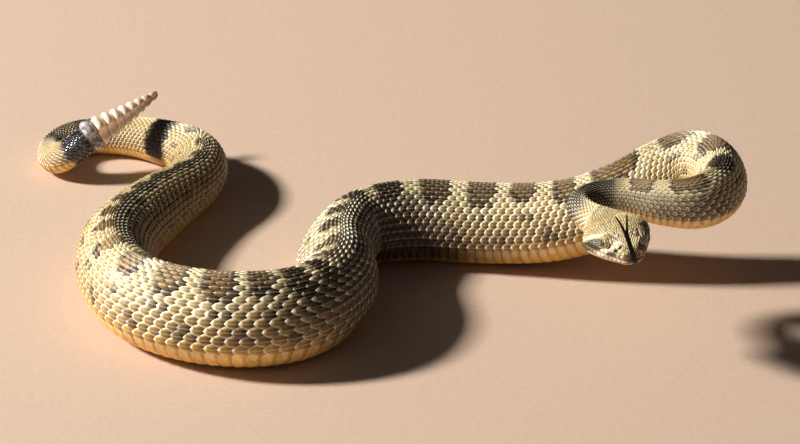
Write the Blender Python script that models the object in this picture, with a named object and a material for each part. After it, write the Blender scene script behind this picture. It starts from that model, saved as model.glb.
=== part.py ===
"""Prairie rattlesnake, life size, in its defensive coil.

The tail curls flat on the ground with the rattle raised, the body lies in an S,
and the neck is lifted in a loop with the head held out over the ground.

The body is one long route on which oval rings are threaded.  It is parted into
a few lengths by thin cuts.  The head, lower jaw, eyes, tongue and rattle
segments are solids of their own.  Metres, +Z up, belly flats at z = 0, origin
on the floor below the middle of the animal's box.
"""
import math

import bmesh
import bpy
import numpy as np
from mathutils import Vector

MM = 0.001

# ---------------------------------------------------------------- dimensions

GAP = 0.0003              # thin cut between two neighbouring solids
ROUTE_STEP = 0.0005       # spacing of the points read from the route
RELAX_PASSES = 100        # rounds off the route between its waypoints
BELLY_DEPTH = 0.94        # depth of the flat belly, as a share of the half height
KEEL_SHARPNESS = 0.25     # how much the flanks draw in towards the spine
WIDEST_DRAW_IN = 0.93     # keeps the widest point of a ring at the half width
NAPE_FLARE = 3.0 * MM     # extra half width where the neck meets the head
FLOOR_SNAP = 0.5 * MM     # a belly closer to the floor than this lies on it
BODY_SIDES = 24
TAIL_SIDES = 16
RING_SPACING = 0.0068

HEAD_HEADING = math.radians(-75.0)
HEAD_PITCH = math.radians(3.0)
HEAD_ROLL = math.radians(4.0)
SNOUT_TIP = (124.5 * MM, -121 * MM, 64 * MM)
HEAD_LENGTH = 37 * MM
NAPE_HEIGHT = 3.0 * MM    # middle of the neck above the line of the mouth
MOUTH_GAP = 0.4 * MM

EYE_RADIUS = 2.7 * MM
EYE_BACK = 11.8 * MM
EYE_SIDE = 8.9 * MM
EYE_UP = 5.6 * MM

RATTLE_SEGMENTS = 9
RATTLE_LENGTH = 47 * MM
RATTLE_ROOT_HALF_HEIGHT = 9.9 * MM
RATTLE_TIP_HALF_HEIGHT = 2.0 * MM
RATTLE_FLATNESS = 0.62    # width of a rattle segment over its height

# The route of the spine from the rattle's tip to the back of the head, in mm:
# x, y, height of the belly above the floor, half height, half width, and how
# far the keel of the back leans to the animal's right.
ROUTE = (
    (-120, 116, 34.0, 4.0, 3.4, 0),
    (-138, 102, 25.0, 6.0, 5.2, 0),
    (-155, 92, 16.5, 7.8, 6.8, 0),
    (-165, 89, 8.5, 8.6, 7.4, 0),
    (-173, 91, 2.5, 8.9, 7.7, 0),
    (-177, 105, 0, 9.3, 8.0, 0),
    (-170, 116, 0, 10.0, 8.6, 0),
    (-146, 121, 0, 11.0, 9.5, 0),
    (-123, 113, 0, 12.5, 11.0, 0),
    (-102, 91, 0, 14.0, 14.0, -5),
    (-101, 63, 0, 15.5, 17.0, -6),
    (-117, 26, 0, 17.0, 19.3, 2),
    (-132, -11, 0, 18.7, 20.8, 3),
    (-134, -51, 0, 21.5, 20.5, 0),
    (-118, -85, 0, 24.0, 22.0, 0),
    (-89, -103, 0, 25.0, 23.5, 0),
    (-59, -106, 0, 25.3, 24.0, 0),
    (-38, -96, 0, 25.0, 23.5, 2),
    (-25, -68, 0, 23.8, 22.0, 5),
    (-26, -31, 0, 22.3, 20.0, 7),
    (-13, -4.5, 0, 22.4, 19.5, 4),
    (16, 3.5, 0, 22.5, 19.6, 0),
    (54, 0, 0, 22.5, 19.7, 0),
    (86, -6, 4, 22.2, 19.0, 0),
    (108, -10, 12.5, 21.2, 18.0, 0),
    (125, -12, 25, 19.7, 17.0, 0),
    (143, -11, 38, 18.2, 15.7, 0),
    (159, -15, 48, 17.3, 14.9, 0),
    (170, -30, 52.5, 16.6, 14.3, 0),
    (171, -50, 52.5, 15.7, 13.5, 0),
    (160, -64, 53, 14.8, 12.7, 0),
    (142, -65, 55, 12.6, 10.8, 0),
    (124, -60, 58, 10.4, 9.0, 0),
    (110, -60, 60, 8.7, 7.6, 0),
    (102, -65, 60.5, 8.4, 7.4, 0),
    (99.5, -73, 60.5, 8.4, 7.4, 0),
    (104, -81, 59, 8.7, 7.7, 0),
)
# The route runs on into the head: distance behind the snout, half height, half width.
ROUTE_IN_HEAD = ((31, 9.4, 8.6), (16, 9.4, 8.6))

# Lengths of the body, head end first: name, share of the way from the tail's
# end to the head at which the length starts, and its number of sides.
LENGTHS = (
    ("neck", 0.900, TAIL_SIDES),
    ("trunk_1", 0.820, BODY_SIDES),
    ("trunk_2", 0.735, BODY_SIDES),
    ("trunk_3", 0.640, BODY_SIDES),
    ("trunk_4", 0.520, BODY_SIDES),
    ("trunk_5", 0.430, BODY_SIDES),
    ("trunk_6", 0.340, BODY_SIDES),
    ("trunk_7", 0.235, BODY_SIDES),
    ("trunk_8", 0.125, BODY_SIDES),
    ("tail_1", 0.062, TAIL_SIDES),
    ("tail_2", 0.018, TAIL_SIDES),
    ("tail_end", 0.0, TAIL_SIDES),
)

# Outline of the head: distance behind the snout, half width, height of the
# crown over the mouth and depth of the jaw below it, in mm.
HEAD_STATIONS = (
    (0.6, 3.4, 5.0, 2.2),
    (2.5, 6.0, 7.2, 3.6),
    (6.0, 8.1, 8.4, 4.4),
    (9.5, 10.0, 9.4, 5.2),
    (13.5, 12.1, 10.4, 6.2),
    (18.0, 14.2, 11.0, 7.1),
    (23.0, 16.2, 11.3, 7.8),
    (28.0, 17.2, 11.2, 8.1),
    (32.0, 16.6, 10.8, 7.8),
    (35.0, 14.2, 10.4, 7.0),
    (37.0, 11.8, 10.2, 6.2),
)

# ----------------------------------------------------------------- materials

SKIN = (0.36, 0.29, 0.16, 1)
SKIN_TAIL = (0.05, 0.045, 0.04, 1)
EYE = (0.25, 0.22, 0.10, 1)
TONGUE = (0.012, 0.011, 0.013, 1)
HORN = (0.42, 0.28, 0.19, 1)


def principled(name, colour, roughness):
    """One plain Principled material."""
    material = bpy.data.materials.new(name)
    material.use_nodes = True
    shader = material.node_tree.nodes["Principled BSDF"]
    shader.inputs["Base Color"].default_value = colour
    shader.inputs["Roughness"].default_value = roughness
    shader.inputs["Metallic"].default_value = 0.0
    return material


def add_object(name, bm, colour, roughness=0.55):
    """Close a bmesh into a named, smooth-shaded object with its own material."""
    bmesh.ops.recalc_face_normals(bm, faces=bm.faces)
    mesh = bpy.data.meshes.new(name)
    bm.to_mesh(mesh)
    bm.free()
    mesh.shade_smooth()
    mesh.set_sharp_from_angle(angle=math.radians(50))
    piece = bpy.data.objects.new(name, mesh)
    piece.data.materials.append(principled(name, colour, roughness))
    bpy.context.scene.collection.objects.link(piece)
    return piece


# ---------------------------------------------------------------- head frame

def head_frame():
    """Forward, left and up directions of the head."""
    forward = Vector((math.cos(HEAD_HEADING) * math.cos(HEAD_PITCH),
                      math.sin(HEAD_HEADING) * math.cos(HEAD_PITCH),
                      math.sin(HEAD_PITCH)))
    left = Vector((-math.sin(HEAD_HEADING), math.cos(HEAD_HEADING), 0))
    up = forward.cross(left)
    rolled_left = left * math.cos(HEAD_ROLL) + up * math.sin(HEAD_ROLL)
    rolled_up = up * math.cos(HEAD_ROLL) - left * math.sin(HEAD_ROLL)
    return forward, rolled_left, rolled_up


def head_point(back, left, up):
    """A point given behind the snout, to the head's left and above the mouth."""
    forward, left_way, up_way = head_frame()
    return Vector(SNOUT_TIP) - forward * back + left_way * left + up_way * up


# ---------------------------------------------------------------- body route

def catmull_rom(points, pieces=24):
    """Smooth curve through the points, spaced by the root of their distance."""
    padded = np.vstack([2 * points[0] - points[1], points, 2 * points[-1] - points[-2]])
    curve = []
    for p0, p1, p2, p3 in zip(padded, padded[1:], padded[2:], padded[3:]):
        t1 = np.linalg.norm((p1 - p0)[:3]) ** 0.5
        t2 = t1 + np.linalg.norm((p2 - p1)[:3]) ** 0.5
        t3 = t2 + np.linalg.norm((p3 - p2)[:3]) ** 0.5
        for t in np.linspace(t1, t2, pieces, endpoint=False):
            a1 = (t1 - t) / t1 * p0 + t / t1 * p1
            a2 = (t2 - t) / (t2 - t1) * p1 + (t - t1) / (t2 - t1) * p2
            a3 = (t3 - t) / (t3 - t2) * p2 + (t - t2) / (t3 - t2) * p3
            b1 = (t2 - t) / t2 * a1 + t / t2 * a2
            b2 = (t3 - t) / (t3 - t1) * a2 + (t - t1) / (t3 - t1) * a3
            curve.append((t2 - t) / (t2 - t1) * b1 + (t - t1) / (t2 - t1) * b2)
    curve.append(points[-1])
    return np.array(curve)


def spaced(curve):
    """The curve again, in even steps, with the distance of each point."""
    reach = np.concatenate([[0], np.cumsum(np.linalg.norm(np.diff(curve[:, :3], axis=0), axis=1))])
    count = int(round(reach[-1] / ROUTE_STEP)) + 1
    distance = np.linspace(0, reach[-1], count)
    return distance, np.stack([np.interp(distance, reach, column) for column in curve.T], axis=1)


def body_route():
    """Distance, centre, half height, half width and lean along the spine, tail first."""
    rows = [np.array([x, y, belly + BELLY_DEPTH * height, height, width, lean]) * MM
            for x, y, belly, height, width, lean in ROUTE]
    for back, height, width in ROUTE_IN_HEAD:
        middle = head_point(back * MM, 0, NAPE_HEIGHT)
        rows.append(np.array([*middle, height * MM, width * MM, 0]))
    distance, curve = spaced(catmull_rom(np.array(rows)))
    for _ in range(RELAX_PASSES):
        curve[1:-1] = (curve[:-2] + 2 * curve[1:-1] + curve[2:]) / 4
    return spaced(curve)


DISTANCE, SPINE = body_route()
TANGENT = np.gradient(SPINE[:, :3], DISTANCE, axis=0)
TAIL_START = RATTLE_LENGTH


def neck_end():
    """Distance along the spine at which the head's back plane is reached."""
    forward = np.array(head_frame()[0])
    back_plane = np.array(head_point(HEAD_LENGTH, 0, 0))
    ahead = (SPINE[:, :3] - back_plane) @ forward
    late = DISTANCE > 0.8 * DISTANCE[-1]
    return DISTANCE[late][np.argmax(ahead[late] > -GAP)]


def along(column, distance):
    return float(np.interp(distance, DISTANCE, column))


def spine_frame(distance):
    """Centre of the spine and its forward, right and up directions."""
    centre = Vector([along(SPINE[:, k], distance) for k in range(3)])
    forward = Vector([along(TANGENT[:, k], distance) for k in range(3)]).normalized()
    right = forward.cross(Vector((0, 0, 1))).normalized()
    return centre, forward, right, right.cross(forward)


def ring_point(distance, angle):
    """A point of the body's surface; angle 0 is the spine, half a turn the belly."""
    centre, _, right, up = spine_frame(distance)
    half_height, half_width, lean = (along(SPINE[:, k], distance) for k in (3, 4, 5))
    flare = NAPE_FLARE * math.exp(-((distance - NECK_END) / (4 * MM)) ** 2)
    draw_in = abs(math.sin(angle / 2)) ** KEEL_SHARPNESS / WIDEST_DRAW_IN
    side = (half_width + flare) * math.sin(angle) * draw_in
    side += lean * (1 + math.cos(angle)) / 2
    height = half_height * max(math.cos(angle), -BELLY_DEPTH)
    point = centre + right * side + up * height
    if point.z < FLOOR_SNAP:
        point.z = 0.0
    return point


def onto_back_plane(point):
    """Slide a point of the neck's last ring onto the plane behind the head."""
    forward = head_frame()[0]
    travel = spine_frame(NECK_END)[1]
    short = (head_point(HEAD_LENGTH + GAP, 0, 0) - point).dot(forward)
    return point + travel * (short / travel.dot(forward))


NECK_END = neck_end()


# ------------------------------------------------------------ tube and solids

def grid_tube(rings, sides, place):
    """A grid bent round into a closed tube: place(share along, angle) sets each point."""
    bm = bmesh.new()
    bmesh.ops.create_grid(bm, x_segments=sides, y_segments=rings, size=0.5)
    for vertex in bm.verts:
        angle = (vertex.co.x + 0.5) * math.tau
        vertex.co = place(vertex.co.y + 0.5, angle)
    bmesh.ops.remove_doubles(bm, verts=bm.verts, dist=0.00001)
    bmesh.ops.holes_fill(bm, edges=bm.edges, sides=0)
    return bm


def body_length(name, start, end, sides):
    """One length of the body between two distances along the spine."""
    rings = max(3, round((end - start) / RING_SPACING * (1.5 if sides == TAIL_SIDES else 1)))

    def place(share, angle):
        point = ring_point(start + (end - start) * share, angle)
        if name == "neck" and share > 0.999:
            point = onto_back_plane(point)
        return point

    colour = SKIN_TAIL if name == "tail_end" else SKIN
    return add_object(name, grid_tube(rings, sides, place), colour)


def body_lengths():
    """Every length from the neck to the tail's end, with thin cuts between."""
    end = NECK_END
    span = NECK_END - TAIL_START
    for name, share, sides in LENGTHS:
        start = TAIL_START + span * share
        body_length(name, start + GAP / 2, end - GAP / 2, sides)
        end = start


def rattle_swell(share):
    """A segment's girth along its length: a lip, a bulge and a waist."""
    return 0.84 + 0.16 * math.sin(math.pi * min(1.0, share * 1.25)) - 0.04 * share


def rattle_segment(number):
    """One horny ring of the rattle, flattened from side to side."""
    root_share = number / RATTLE_SEGMENTS
    tip_share = (number + 1) / RATTLE_SEGMENTS
    spacing = 0.90                         # segments shorten towards the tip
    root = TAIL_START - RATTLE_LENGTH * root_share ** spacing - GAP / 2
    tip = TAIL_START - RATTLE_LENGTH * tip_share ** spacing + GAP / 2

    def place(share, angle):
        distance = root + (tip - root) * share
        centre, _, right, up = spine_frame(distance)
        taper = (TAIL_START - distance) / RATTLE_LENGTH
        half = RATTLE_ROOT_HALF_HEIGHT + (RATTLE_TIP_HALF_HEIGHT - RATTLE_ROOT_HALF_HEIGHT) * taper ** 0.9
        half *= rattle_swell(share)
        return centre + right * (RATTLE_FLATNESS * half * math.sin(angle)) + up * (half * math.cos(angle))

    add_object(f"rattle_{number + 1}", grid_tube(4, 14, place), HORN, 0.4)


# ---------------------------------------------------------------------- head

def station(back):
    """Half width, crown height and jaw depth of the head at a distance from the snout."""
    table = np.array(HEAD_STATIONS)
    return [float(np.interp(back / MM, table[:, 0], table[:, k])) * MM for k in (1, 2, 3)]


def boxed(value, power):
    return math.copysign(abs(value) ** power, value)


def upper_head_point(share, angle):
    """Upper half of the head: a flat palate and a boxed crown, squarer at the snout."""
    first = HEAD_STATIONS[0][0] * MM
    back = first + (HEAD_LENGTH - first) * share
    width, crown, _ = station(back)
    squareness = 0.62 + 0.20 * share
    side = width * boxed(math.sin(angle), squareness)
    rise = crown * boxed(max(math.cos(angle), 0), squareness)
    return head_point(back, side, rise + MOUTH_GAP / 2)


def lower_jaw_point(share, angle):
    """Lower jaw and throat: flat on top, rounded below."""
    first = (HEAD_STATIONS[0][0] + 0.5) * MM
    back = first + (HEAD_LENGTH - first) * share
    width, _, depth = station(back)
    side = (width - 0.5 * MM) * boxed(math.sin(angle), 0.8)
    drop = depth * boxed(max(-math.cos(angle), 0), 0.8)
    return head_point(back, side, -drop - MOUTH_GAP / 2)


def eye_ball(side, radius):
    """A ball at the eye's place; side is +1 for the left eye."""
    bm = bmesh.new()
    bmesh.ops.create_uvsphere(bm, u_segments=14, v_segments=8, radius=radius)
    centre = head_point(EYE_BACK, side * EYE_SIDE, EYE_UP)
    bmesh.ops.translate(bm, verts=bm.verts, vec=centre)
    return bm


def carve(piece, cutter_bm, name):
    """Cut a wire-shown cutter out of a piece."""
    cutter = add_object(name, cutter_bm, SKIN)
    cutter.hide_render = True
    cutter.display_type = "WIRE"
    cut = piece.modifiers.new(name, "BOOLEAN")
    cut.operation = "DIFFERENCE"
    cut.solver = "EXACT"
    cut.object = cutter


def head_and_jaw():
    head = add_object("head", grid_tube(16, 24, upper_head_point), SKIN)
    for side, name in ((1, "eye_left"), (-1, "eye_right")):
        carve(head, eye_ball(side, EYE_RADIUS + GAP), f"socket_{name}")
        add_object(name, eye_ball(side, EYE_RADIUS), EYE, 0.1)
    add_object("lower_jaw", grid_tube(12, 18, lower_jaw_point), SKIN)


# -------------------------------------------------------------------- tongue

# Each strand of the forked tongue, in mm: behind the snout, left, above the mouth.
TONGUE_STEM = ((0.1, 0.3, 0.2), (-2.5, 0.1, 0.3), (-4.8, -0.7, 2.6), (-6.0, -1.9, 7.5), (-6.4, -3.3, 13.5))
TONGUE_TINES = {
    "left": ((-6.3, -4.0, 19.5), (-6.0, -3.7, 24.5), (-5.4, -3.2, 29.0)),
    "right": ((-6.3, -5.2, 19.5), (-6.0, -7.0, 24.5), (-5.4, -9.2, 28.8)),
}
TONGUE_RADIUS = 1.05 * MM
TINE_RADIUS = 0.45 * MM
TONGUE_HALF_SPREAD = 0.3 * MM


def tongue_strand(name, shift):
    """Half of the tongue: beside its twin along the stem, apart in the fork."""
    stops = [head_point(*(value * MM for value in stop)) for stop in TONGUE_STEM]
    stops = [stop + head_frame()[1] * shift for stop in stops]
    stops += [head_point(*(value * MM for value in stop)) for stop in TONGUE_TINES[name]]
    path = catmull_rom(np.array([[*stop] for stop in stops]), pieces=8)
    reach = np.concatenate([[0], np.cumsum(np.linalg.norm(np.diff(path, axis=0), axis=1))])
    direction = np.gradient(path, reach, axis=0)

    def place(share, angle):
        at = share * reach[-1]
        centre = Vector([float(np.interp(at, reach, path[:, k])) for k in range(3)])
        ahead = Vector([float(np.interp(at, reach, direction[:, k])) for k in range(3)])
        across = (head_frame()[1] - ahead * ahead.dot(head_frame()[1]) / ahead.length_squared).normalized()
        through = across.cross(ahead).normalized()
        radius = TONGUE_RADIUS + (TINE_RADIUS - TONGUE_RADIUS) * share ** 1.5
        return centre + (across * math.sin(angle) + through * math.cos(angle) * 0.7) * radius

    return grid_tube(16, 8, place)


def tongue():
    """Two strands joined into one forked solid."""
    left = add_object("tongue", tongue_strand("left", TONGUE_HALF_SPREAD), TONGUE, 0.35)
    right = add_object("tongue_twin", tongue_strand("right", -TONGUE_HALF_SPREAD), TONGUE, 0.35)
    right.hide_render = True
    right.display_type = "WIRE"
    join = left.modifiers.new("fork", "BOOLEAN")
    join.operation = "UNION"
    join.solver = "EXACT"
    join.object = right


# ---------------------------------------------------------------------- build

def clear_scene():
    for item in list(bpy.data.objects):
        bpy.data.objects.remove(item)


def build():
    clear_scene()
    head_and_jaw()
    tongue()
    body_lengths()
    for number in range(RATTLE_SEGMENTS):
        rattle_segment(number)


build()
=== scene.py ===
# %% [markdown]
# # A prairie rattlesnake in its defensive coil
# This lesson dresses a plain solid model of a rattlesnake, life size, in skin, scales, horn and
# colour. The animal is one long tube that swells and narrows, so nearly everything here is made
# flat first and then wrapped on that tube: the skin, some five thousand keeled scales, the broad
# belly plates and the horny rings of the rattle. The other way would be to sculpt the coil by
# hand, but then no scale row would run true from the neck to the tail.

# %% Load the fixed frame
import math

import bmesh
import bpy
import numpy as np
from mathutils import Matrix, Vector


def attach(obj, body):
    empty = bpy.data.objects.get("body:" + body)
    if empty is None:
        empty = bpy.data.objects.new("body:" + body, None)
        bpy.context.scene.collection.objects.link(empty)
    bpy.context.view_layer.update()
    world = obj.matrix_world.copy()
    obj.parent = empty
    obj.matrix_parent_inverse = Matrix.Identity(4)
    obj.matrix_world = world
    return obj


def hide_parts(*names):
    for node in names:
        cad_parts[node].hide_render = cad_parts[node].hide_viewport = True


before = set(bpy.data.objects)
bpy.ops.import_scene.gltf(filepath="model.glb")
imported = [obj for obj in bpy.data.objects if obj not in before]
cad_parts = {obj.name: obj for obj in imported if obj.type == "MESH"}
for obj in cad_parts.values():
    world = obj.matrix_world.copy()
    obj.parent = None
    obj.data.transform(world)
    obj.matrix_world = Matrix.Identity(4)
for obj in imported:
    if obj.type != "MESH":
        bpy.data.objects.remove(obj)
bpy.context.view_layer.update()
MM = 0.001
chance = np.random.default_rng(11)
print("solids in the frame:", len(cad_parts))

# %% [markdown]
# ## Camera, light and floor
# A crouching person sees the snake from the front and from a little above. A long lens keeps the
# coil from looking stretched. One lamp stands low on the left, as a late sun would. A faint one in
# front and a pale world lighten the shadows.

# %% Camera
LOOK_AT = Vector((10, 40, 0)) * MM
CAMERA_RISE = math.radians(28)
CAMERA_DISTANCE = 2.6
LENS, FILM_WIDTH = 222.75, 36                         # inside the camera, in millimetres


def placed(name, data):
    """A new object in the scene, with its origin at the world's."""
    made = bpy.data.objects.new(name, data)
    bpy.context.scene.collection.objects.link(made)
    return made


def place_camera():
    """The camera in front of the snake and above it."""
    data = bpy.data.cameras.new("camera")
    data.lens, data.sensor_width = LENS, FILM_WIDTH
    camera = placed("camera", data)
    camera.location = LOOK_AT + CAMERA_DISTANCE * Vector((0, -math.cos(CAMERA_RISE), math.sin(CAMERA_RISE)))
    camera.rotation_euler = (math.pi / 2 - CAMERA_RISE, 0, 0)
    bpy.context.scene.camera = camera
    return camera


print("camera stands at", [round(v, 3) for v in place_camera().location])

# %% Lamps and world
# name, direction from the snake, distance and side in metres, power in watts, colour
LAMPS = (
    ("key", (-1.40, 0.02, 1.0), 4.5, 0.55, 410, (1.0, 0.955, 0.88)),
    ("front_fill", (-0.9, -1.0, 0.45), 1.6, 1.2, 1.2, (0.96, 0.97, 1.0)),
)
WORLD_COLOUR, WORLD_STRENGTH = (0.92, 0.95, 1.0, 1), 0.035


def place_lamp(name, direction, distance, side, power, colour):
    """A square lamp that faces the snake."""
    data = bpy.data.lights.new(name, "AREA")
    data.size, data.energy, data.color = side, power, colour
    lamp = placed(name, data)
    way = Vector(direction).normalized()
    lamp.location = LOOK_AT + way * distance
    lamp.rotation_euler = way.to_track_quat("Z", "Y").to_euler()


for lamp_row in LAMPS:
    place_lamp(*lamp_row)
world = bpy.data.worlds.new("studio")
world.use_nodes = True
world.node_tree.nodes["Background"].inputs["Color"].default_value = WORLD_COLOUR
world.node_tree.nodes["Background"].inputs["Strength"].default_value = WORLD_STRENGTH
bpy.context.scene.world = world
bpy.context.scene.view_settings.view_transform = "Standard"
print(len(LAMPS), "lamps and a pale world")

# %% [markdown]
# ## The route of the spine
# The pose is one smooth line through listed stops, from the tip of the rattle to the back of
# the head. Each stop also says how thick the body is there and how far its ridge leans. Curves
# in the editor could carry this too, but numbers in a table are easier to nudge.

# %% Stops along the spine, in millimetres
# x, y, height of the belly over the floor, half height, half width, lean of the ridge
ROUTE = (
    (-120, 116, 34.0, 4.0, 3.4, 0),
    (-138, 102, 25.0, 6.0, 5.2, 0),
    (-155, 92, 16.5, 7.8, 6.8, 0),
    (-165, 89, 8.5, 8.6, 7.4, 0),
    (-173, 91, 2.5, 8.9, 7.7, 0),
    (-177, 105, 0, 9.3, 8.0, 0),
    (-170, 116, 0, 10.0, 8.6, 0),
    (-146, 121, 0, 11.0, 9.5, 0),
    (-123, 113, 0, 12.5, 11.0, 0),
    (-102, 91, 0, 14.0, 14.0, -5),
    (-101, 63, 0, 15.5, 17.0, -6),
    (-117, 26, 0, 17.0, 19.3, 2),
    (-132, -11, 0, 18.7, 20.8, 3),
    (-134, -51, 0, 21.5, 20.5, 0),
    (-118, -85, 0, 24.0, 22.0, 0),
    (-89, -103, 0, 25.0, 23.5, 0),
    (-59, -106, 0, 25.3, 24.0, 0),
    (-38, -96, 0, 25.0, 23.5, 2),
    (-25, -68, 0, 23.8, 22.0, 5),
    (-26, -31, 0, 22.3, 20.0, 7),
    (-13, -4.5, 0, 22.4, 19.5, 4),
    (16, 3.5, 0, 22.5, 19.6, 0),
    (54, 0, 0, 22.5, 19.7, 0),
    (86, -6, 4, 22.2, 19.0, 0),
    (108, -10, 12.5, 21.2, 18.0, 0),
    (125, -12, 25, 19.7, 17.0, 0),
    (143, -11, 38, 18.2, 15.7, 0),
    (159, -15, 48, 17.3, 14.9, 0),
    (170, -30, 52.5, 16.6, 14.3, 0),
    (171, -50, 52.5, 15.7, 13.5, 0),
    (160, -64, 53, 14.8, 12.7, 0),
    (142, -65, 55, 12.6, 10.8, 0),
    (124, -60, 58, 10.4, 9.0, 0),
    (110, -60, 60, 8.7, 7.6, 0),
    (102, -65, 60.5, 8.4, 7.4, 0),
    (99.5, -73, 60.5, 8.4, 7.4, 0),
    (104, -81, 59, 8.7, 7.7, 0),
)
ROUTE_IN_HEAD = ((31, 9.4, 8.6), (16, 9.4, 8.6))      # behind the snout, half height, half width
BELLY_DEPTH = 0.94
ROUTE_STEP = 0.5 * MM
RELAX_PASSES = 100
print(len(ROUTE), "stops")

# %% The head's own directions
HEAD_HEADING, HEAD_PITCH, HEAD_ROLL = (math.radians(turn) for turn in (-75, 3, 4))
SNOUT_TIP = Vector((124.5, -121, 64)) * MM
HEAD_LENGTH = 37 * MM
NAPE_HEIGHT = 3 * MM


def head_axes():
    """Forward, left and up directions of the head."""
    forward = Vector((math.cos(HEAD_HEADING) * math.cos(HEAD_PITCH),
                      math.sin(HEAD_HEADING) * math.cos(HEAD_PITCH), math.sin(HEAD_PITCH)))
    left = Vector((-math.sin(HEAD_HEADING), math.cos(HEAD_HEADING), 0))
    up = forward.cross(left)
    return (forward, left * math.cos(HEAD_ROLL) + up * math.sin(HEAD_ROLL),
            up * math.cos(HEAD_ROLL) - left * math.sin(HEAD_ROLL))


FORWARD, LEFT, UP = (np.array(axis) for axis in head_axes())


def head_place(back, left, up):
    """Points given behind the snout, to the left and above the mouth, as an array."""
    back, left, up = (np.asarray(value, float)[..., None] for value in (back, left, up))
    return np.array(SNOUT_TIP) - FORWARD * back + LEFT * left + UP * up


print("the head faces", FORWARD.round(2))

# %% A smooth line through the stops
def smooth_line(points, pieces=24):
    """A curve through the points whose knots are spaced by the root of their distance."""
    points = np.asarray(points, float)
    padded = np.vstack([2 * points[0] - points[1], points, 2 * points[-1] - points[-2]])
    curve = []
    for p0, p1, p2, p3 in zip(padded, padded[1:], padded[2:], padded[3:]):
        t1 = np.linalg.norm((p1 - p0)[:3]) ** 0.5
        t2 = t1 + np.linalg.norm((p2 - p1)[:3]) ** 0.5
        t3 = t2 + np.linalg.norm((p3 - p2)[:3]) ** 0.5
        for t in np.linspace(t1, t2, pieces, endpoint=False):
            a1 = (t1 - t) / t1 * p0 + t / t1 * p1
            a2 = (t2 - t) / (t2 - t1) * p1 + (t - t1) / (t2 - t1) * p2
            a3 = (t3 - t) / (t3 - t2) * p2 + (t - t2) / (t3 - t2) * p3
            b1 = (t2 - t) / t2 * a1 + t / t2 * a2
            b2 = (t3 - t) / (t3 - t1) * a2 + (t - t1) / (t3 - t1) * a3
            curve.append((t2 - t) / (t2 - t1) * b1 + (t - t1) / (t2 - t1) * b2)
    return np.array(curve + [points[-1]])


def travelled(curve):
    """Distance from the curve's start to each of its points."""
    return np.concatenate([[0], np.cumsum(np.linalg.norm(np.diff(curve[:, :3], axis=0), axis=1))])


def evenly(curve, step):
    """The curve again in even steps, with the distance of each point."""
    reach = travelled(curve)
    distance = np.linspace(0, reach[-1], int(round(reach[-1] / step)) + 1)
    return distance, np.stack([np.interp(distance, reach, column) for column in curve.T], axis=1)


print("a line through three points has", len(smooth_line([(0, 0), (1, 0), (1, 1)])), "points")

# %% Lay the spine
def lay_spine():
    """Distance and centre, half height, half width and lean of the body, in even steps."""
    rows = [[x, y, belly + BELLY_DEPTH * height, height, width, lean]
            for x, y, belly, height, width, lean in ROUTE]
    rows = [np.array(row) * MM for row in rows]
    for back, height, width in ROUTE_IN_HEAD:
        rows.append(np.array([*head_place(back * MM, 0, NAPE_HEIGHT), height * MM, width * MM, 0]))
    distance, curve = evenly(smooth_line(rows), ROUTE_STEP)
    for _ in range(RELAX_PASSES):
        curve[1:-1] = (curve[:-2] + 2 * curve[1:-1] + curve[2:]) / 4
    return evenly(curve, ROUTE_STEP)


DISTANCE, SPINE = lay_spine()
TANGENT = np.gradient(SPINE[:, :3], DISTANCE, axis=0)
TAIL_START = 47 * MM                                  # the rattle is this long


def find_neck_end():
    """Where the last stretch of the spine comes to the back of the head."""
    last = DISTANCE > 0.8 * DISTANCE[-1]
    ahead = (SPINE[:, :3] - head_place(HEAD_LENGTH, 0, 0)) @ FORWARD
    return DISTANCE[last][np.argmax(ahead[last] > -0.3 * MM)]


NECK_END = find_neck_end()
print(f"body from {TAIL_START:.3f} to {NECK_END:.3f} m along the spine")

# %% [markdown]
# ## The body's surface
# Any place on the animal has two numbers: how far along it lies, and the turn round the body,
# 0 on the ridge of the back and half a turn on the belly. A ring is an oval that draws in
# towards the ridge and lies flat on its belly. Rings are written for whole arrays at once, which
# lets many thousand scale corners be wrapped in a blink.

# %% Rings of the body
KEEL_SHARPNESS, WIDEST_DRAW_IN = 0.25, 0.93
NAPE_FLARE, FLARE_REACH = 3 * MM, 4 * MM
FLOOR_SNAP = 0.5 * MM


def unit(vectors):
    """Vectors with their lengths made one."""
    return vectors / np.maximum(np.linalg.norm(vectors, axis=-1, keepdims=True), 1e-12)


def spine_columns(along):
    """Centre, half height, half width and lean at each distance."""
    return [np.interp(along, DISTANCE, column) for column in SPINE.T]


def spine_axes(along):
    """Centre, forward, right and up of the spine at each distance."""
    centre = np.stack(spine_columns(along)[:3], axis=-1)
    forward = unit(np.stack([np.interp(along, DISTANCE, column) for column in TANGENT.T], axis=-1))
    right = unit(np.cross(forward, (0, 0, 1)))
    return centre, forward, right, np.cross(right, forward)


def body_ring(along, turn):
    """Points on the body's surface; a positive turn goes down the right flank."""
    centre, _, right, up = spine_axes(along)
    height, width, lean = spine_columns(along)[3:]
    flare = NAPE_FLARE * np.exp(-((along - NECK_END) / FLARE_REACH) ** 2)
    draw_in = np.abs(np.sin(turn / 2)) ** KEEL_SHARPNESS / WIDEST_DRAW_IN
    side = (width + flare) * np.sin(turn) * draw_in + lean * (1 + np.cos(turn)) / 2
    rise = height * np.maximum(np.cos(turn), -BELLY_DEPTH)
    point = centre + right * side[..., None] + up * rise[..., None]
    point[..., 2] = np.where(point[..., 2] < FLOOR_SNAP, 0, point[..., 2])
    return point


round_body = np.linspace(0, math.tau, 90)
print("a ring at mid-body is", np.ptp(body_ring(np.full(90, 0.42), round_body), axis=0).round(3))

# %% [markdown]
# ## The head's surface
# The head is a spade: broad at the back where the venom glands lie, with a flat crown, a sharp
# brow over each eye and a blunt snout. Its rings come from a short table. Pits, nostrils, eye
# sockets, the line of the mouth and the swell of the cheeks are pushed in or out afterwards.

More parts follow.
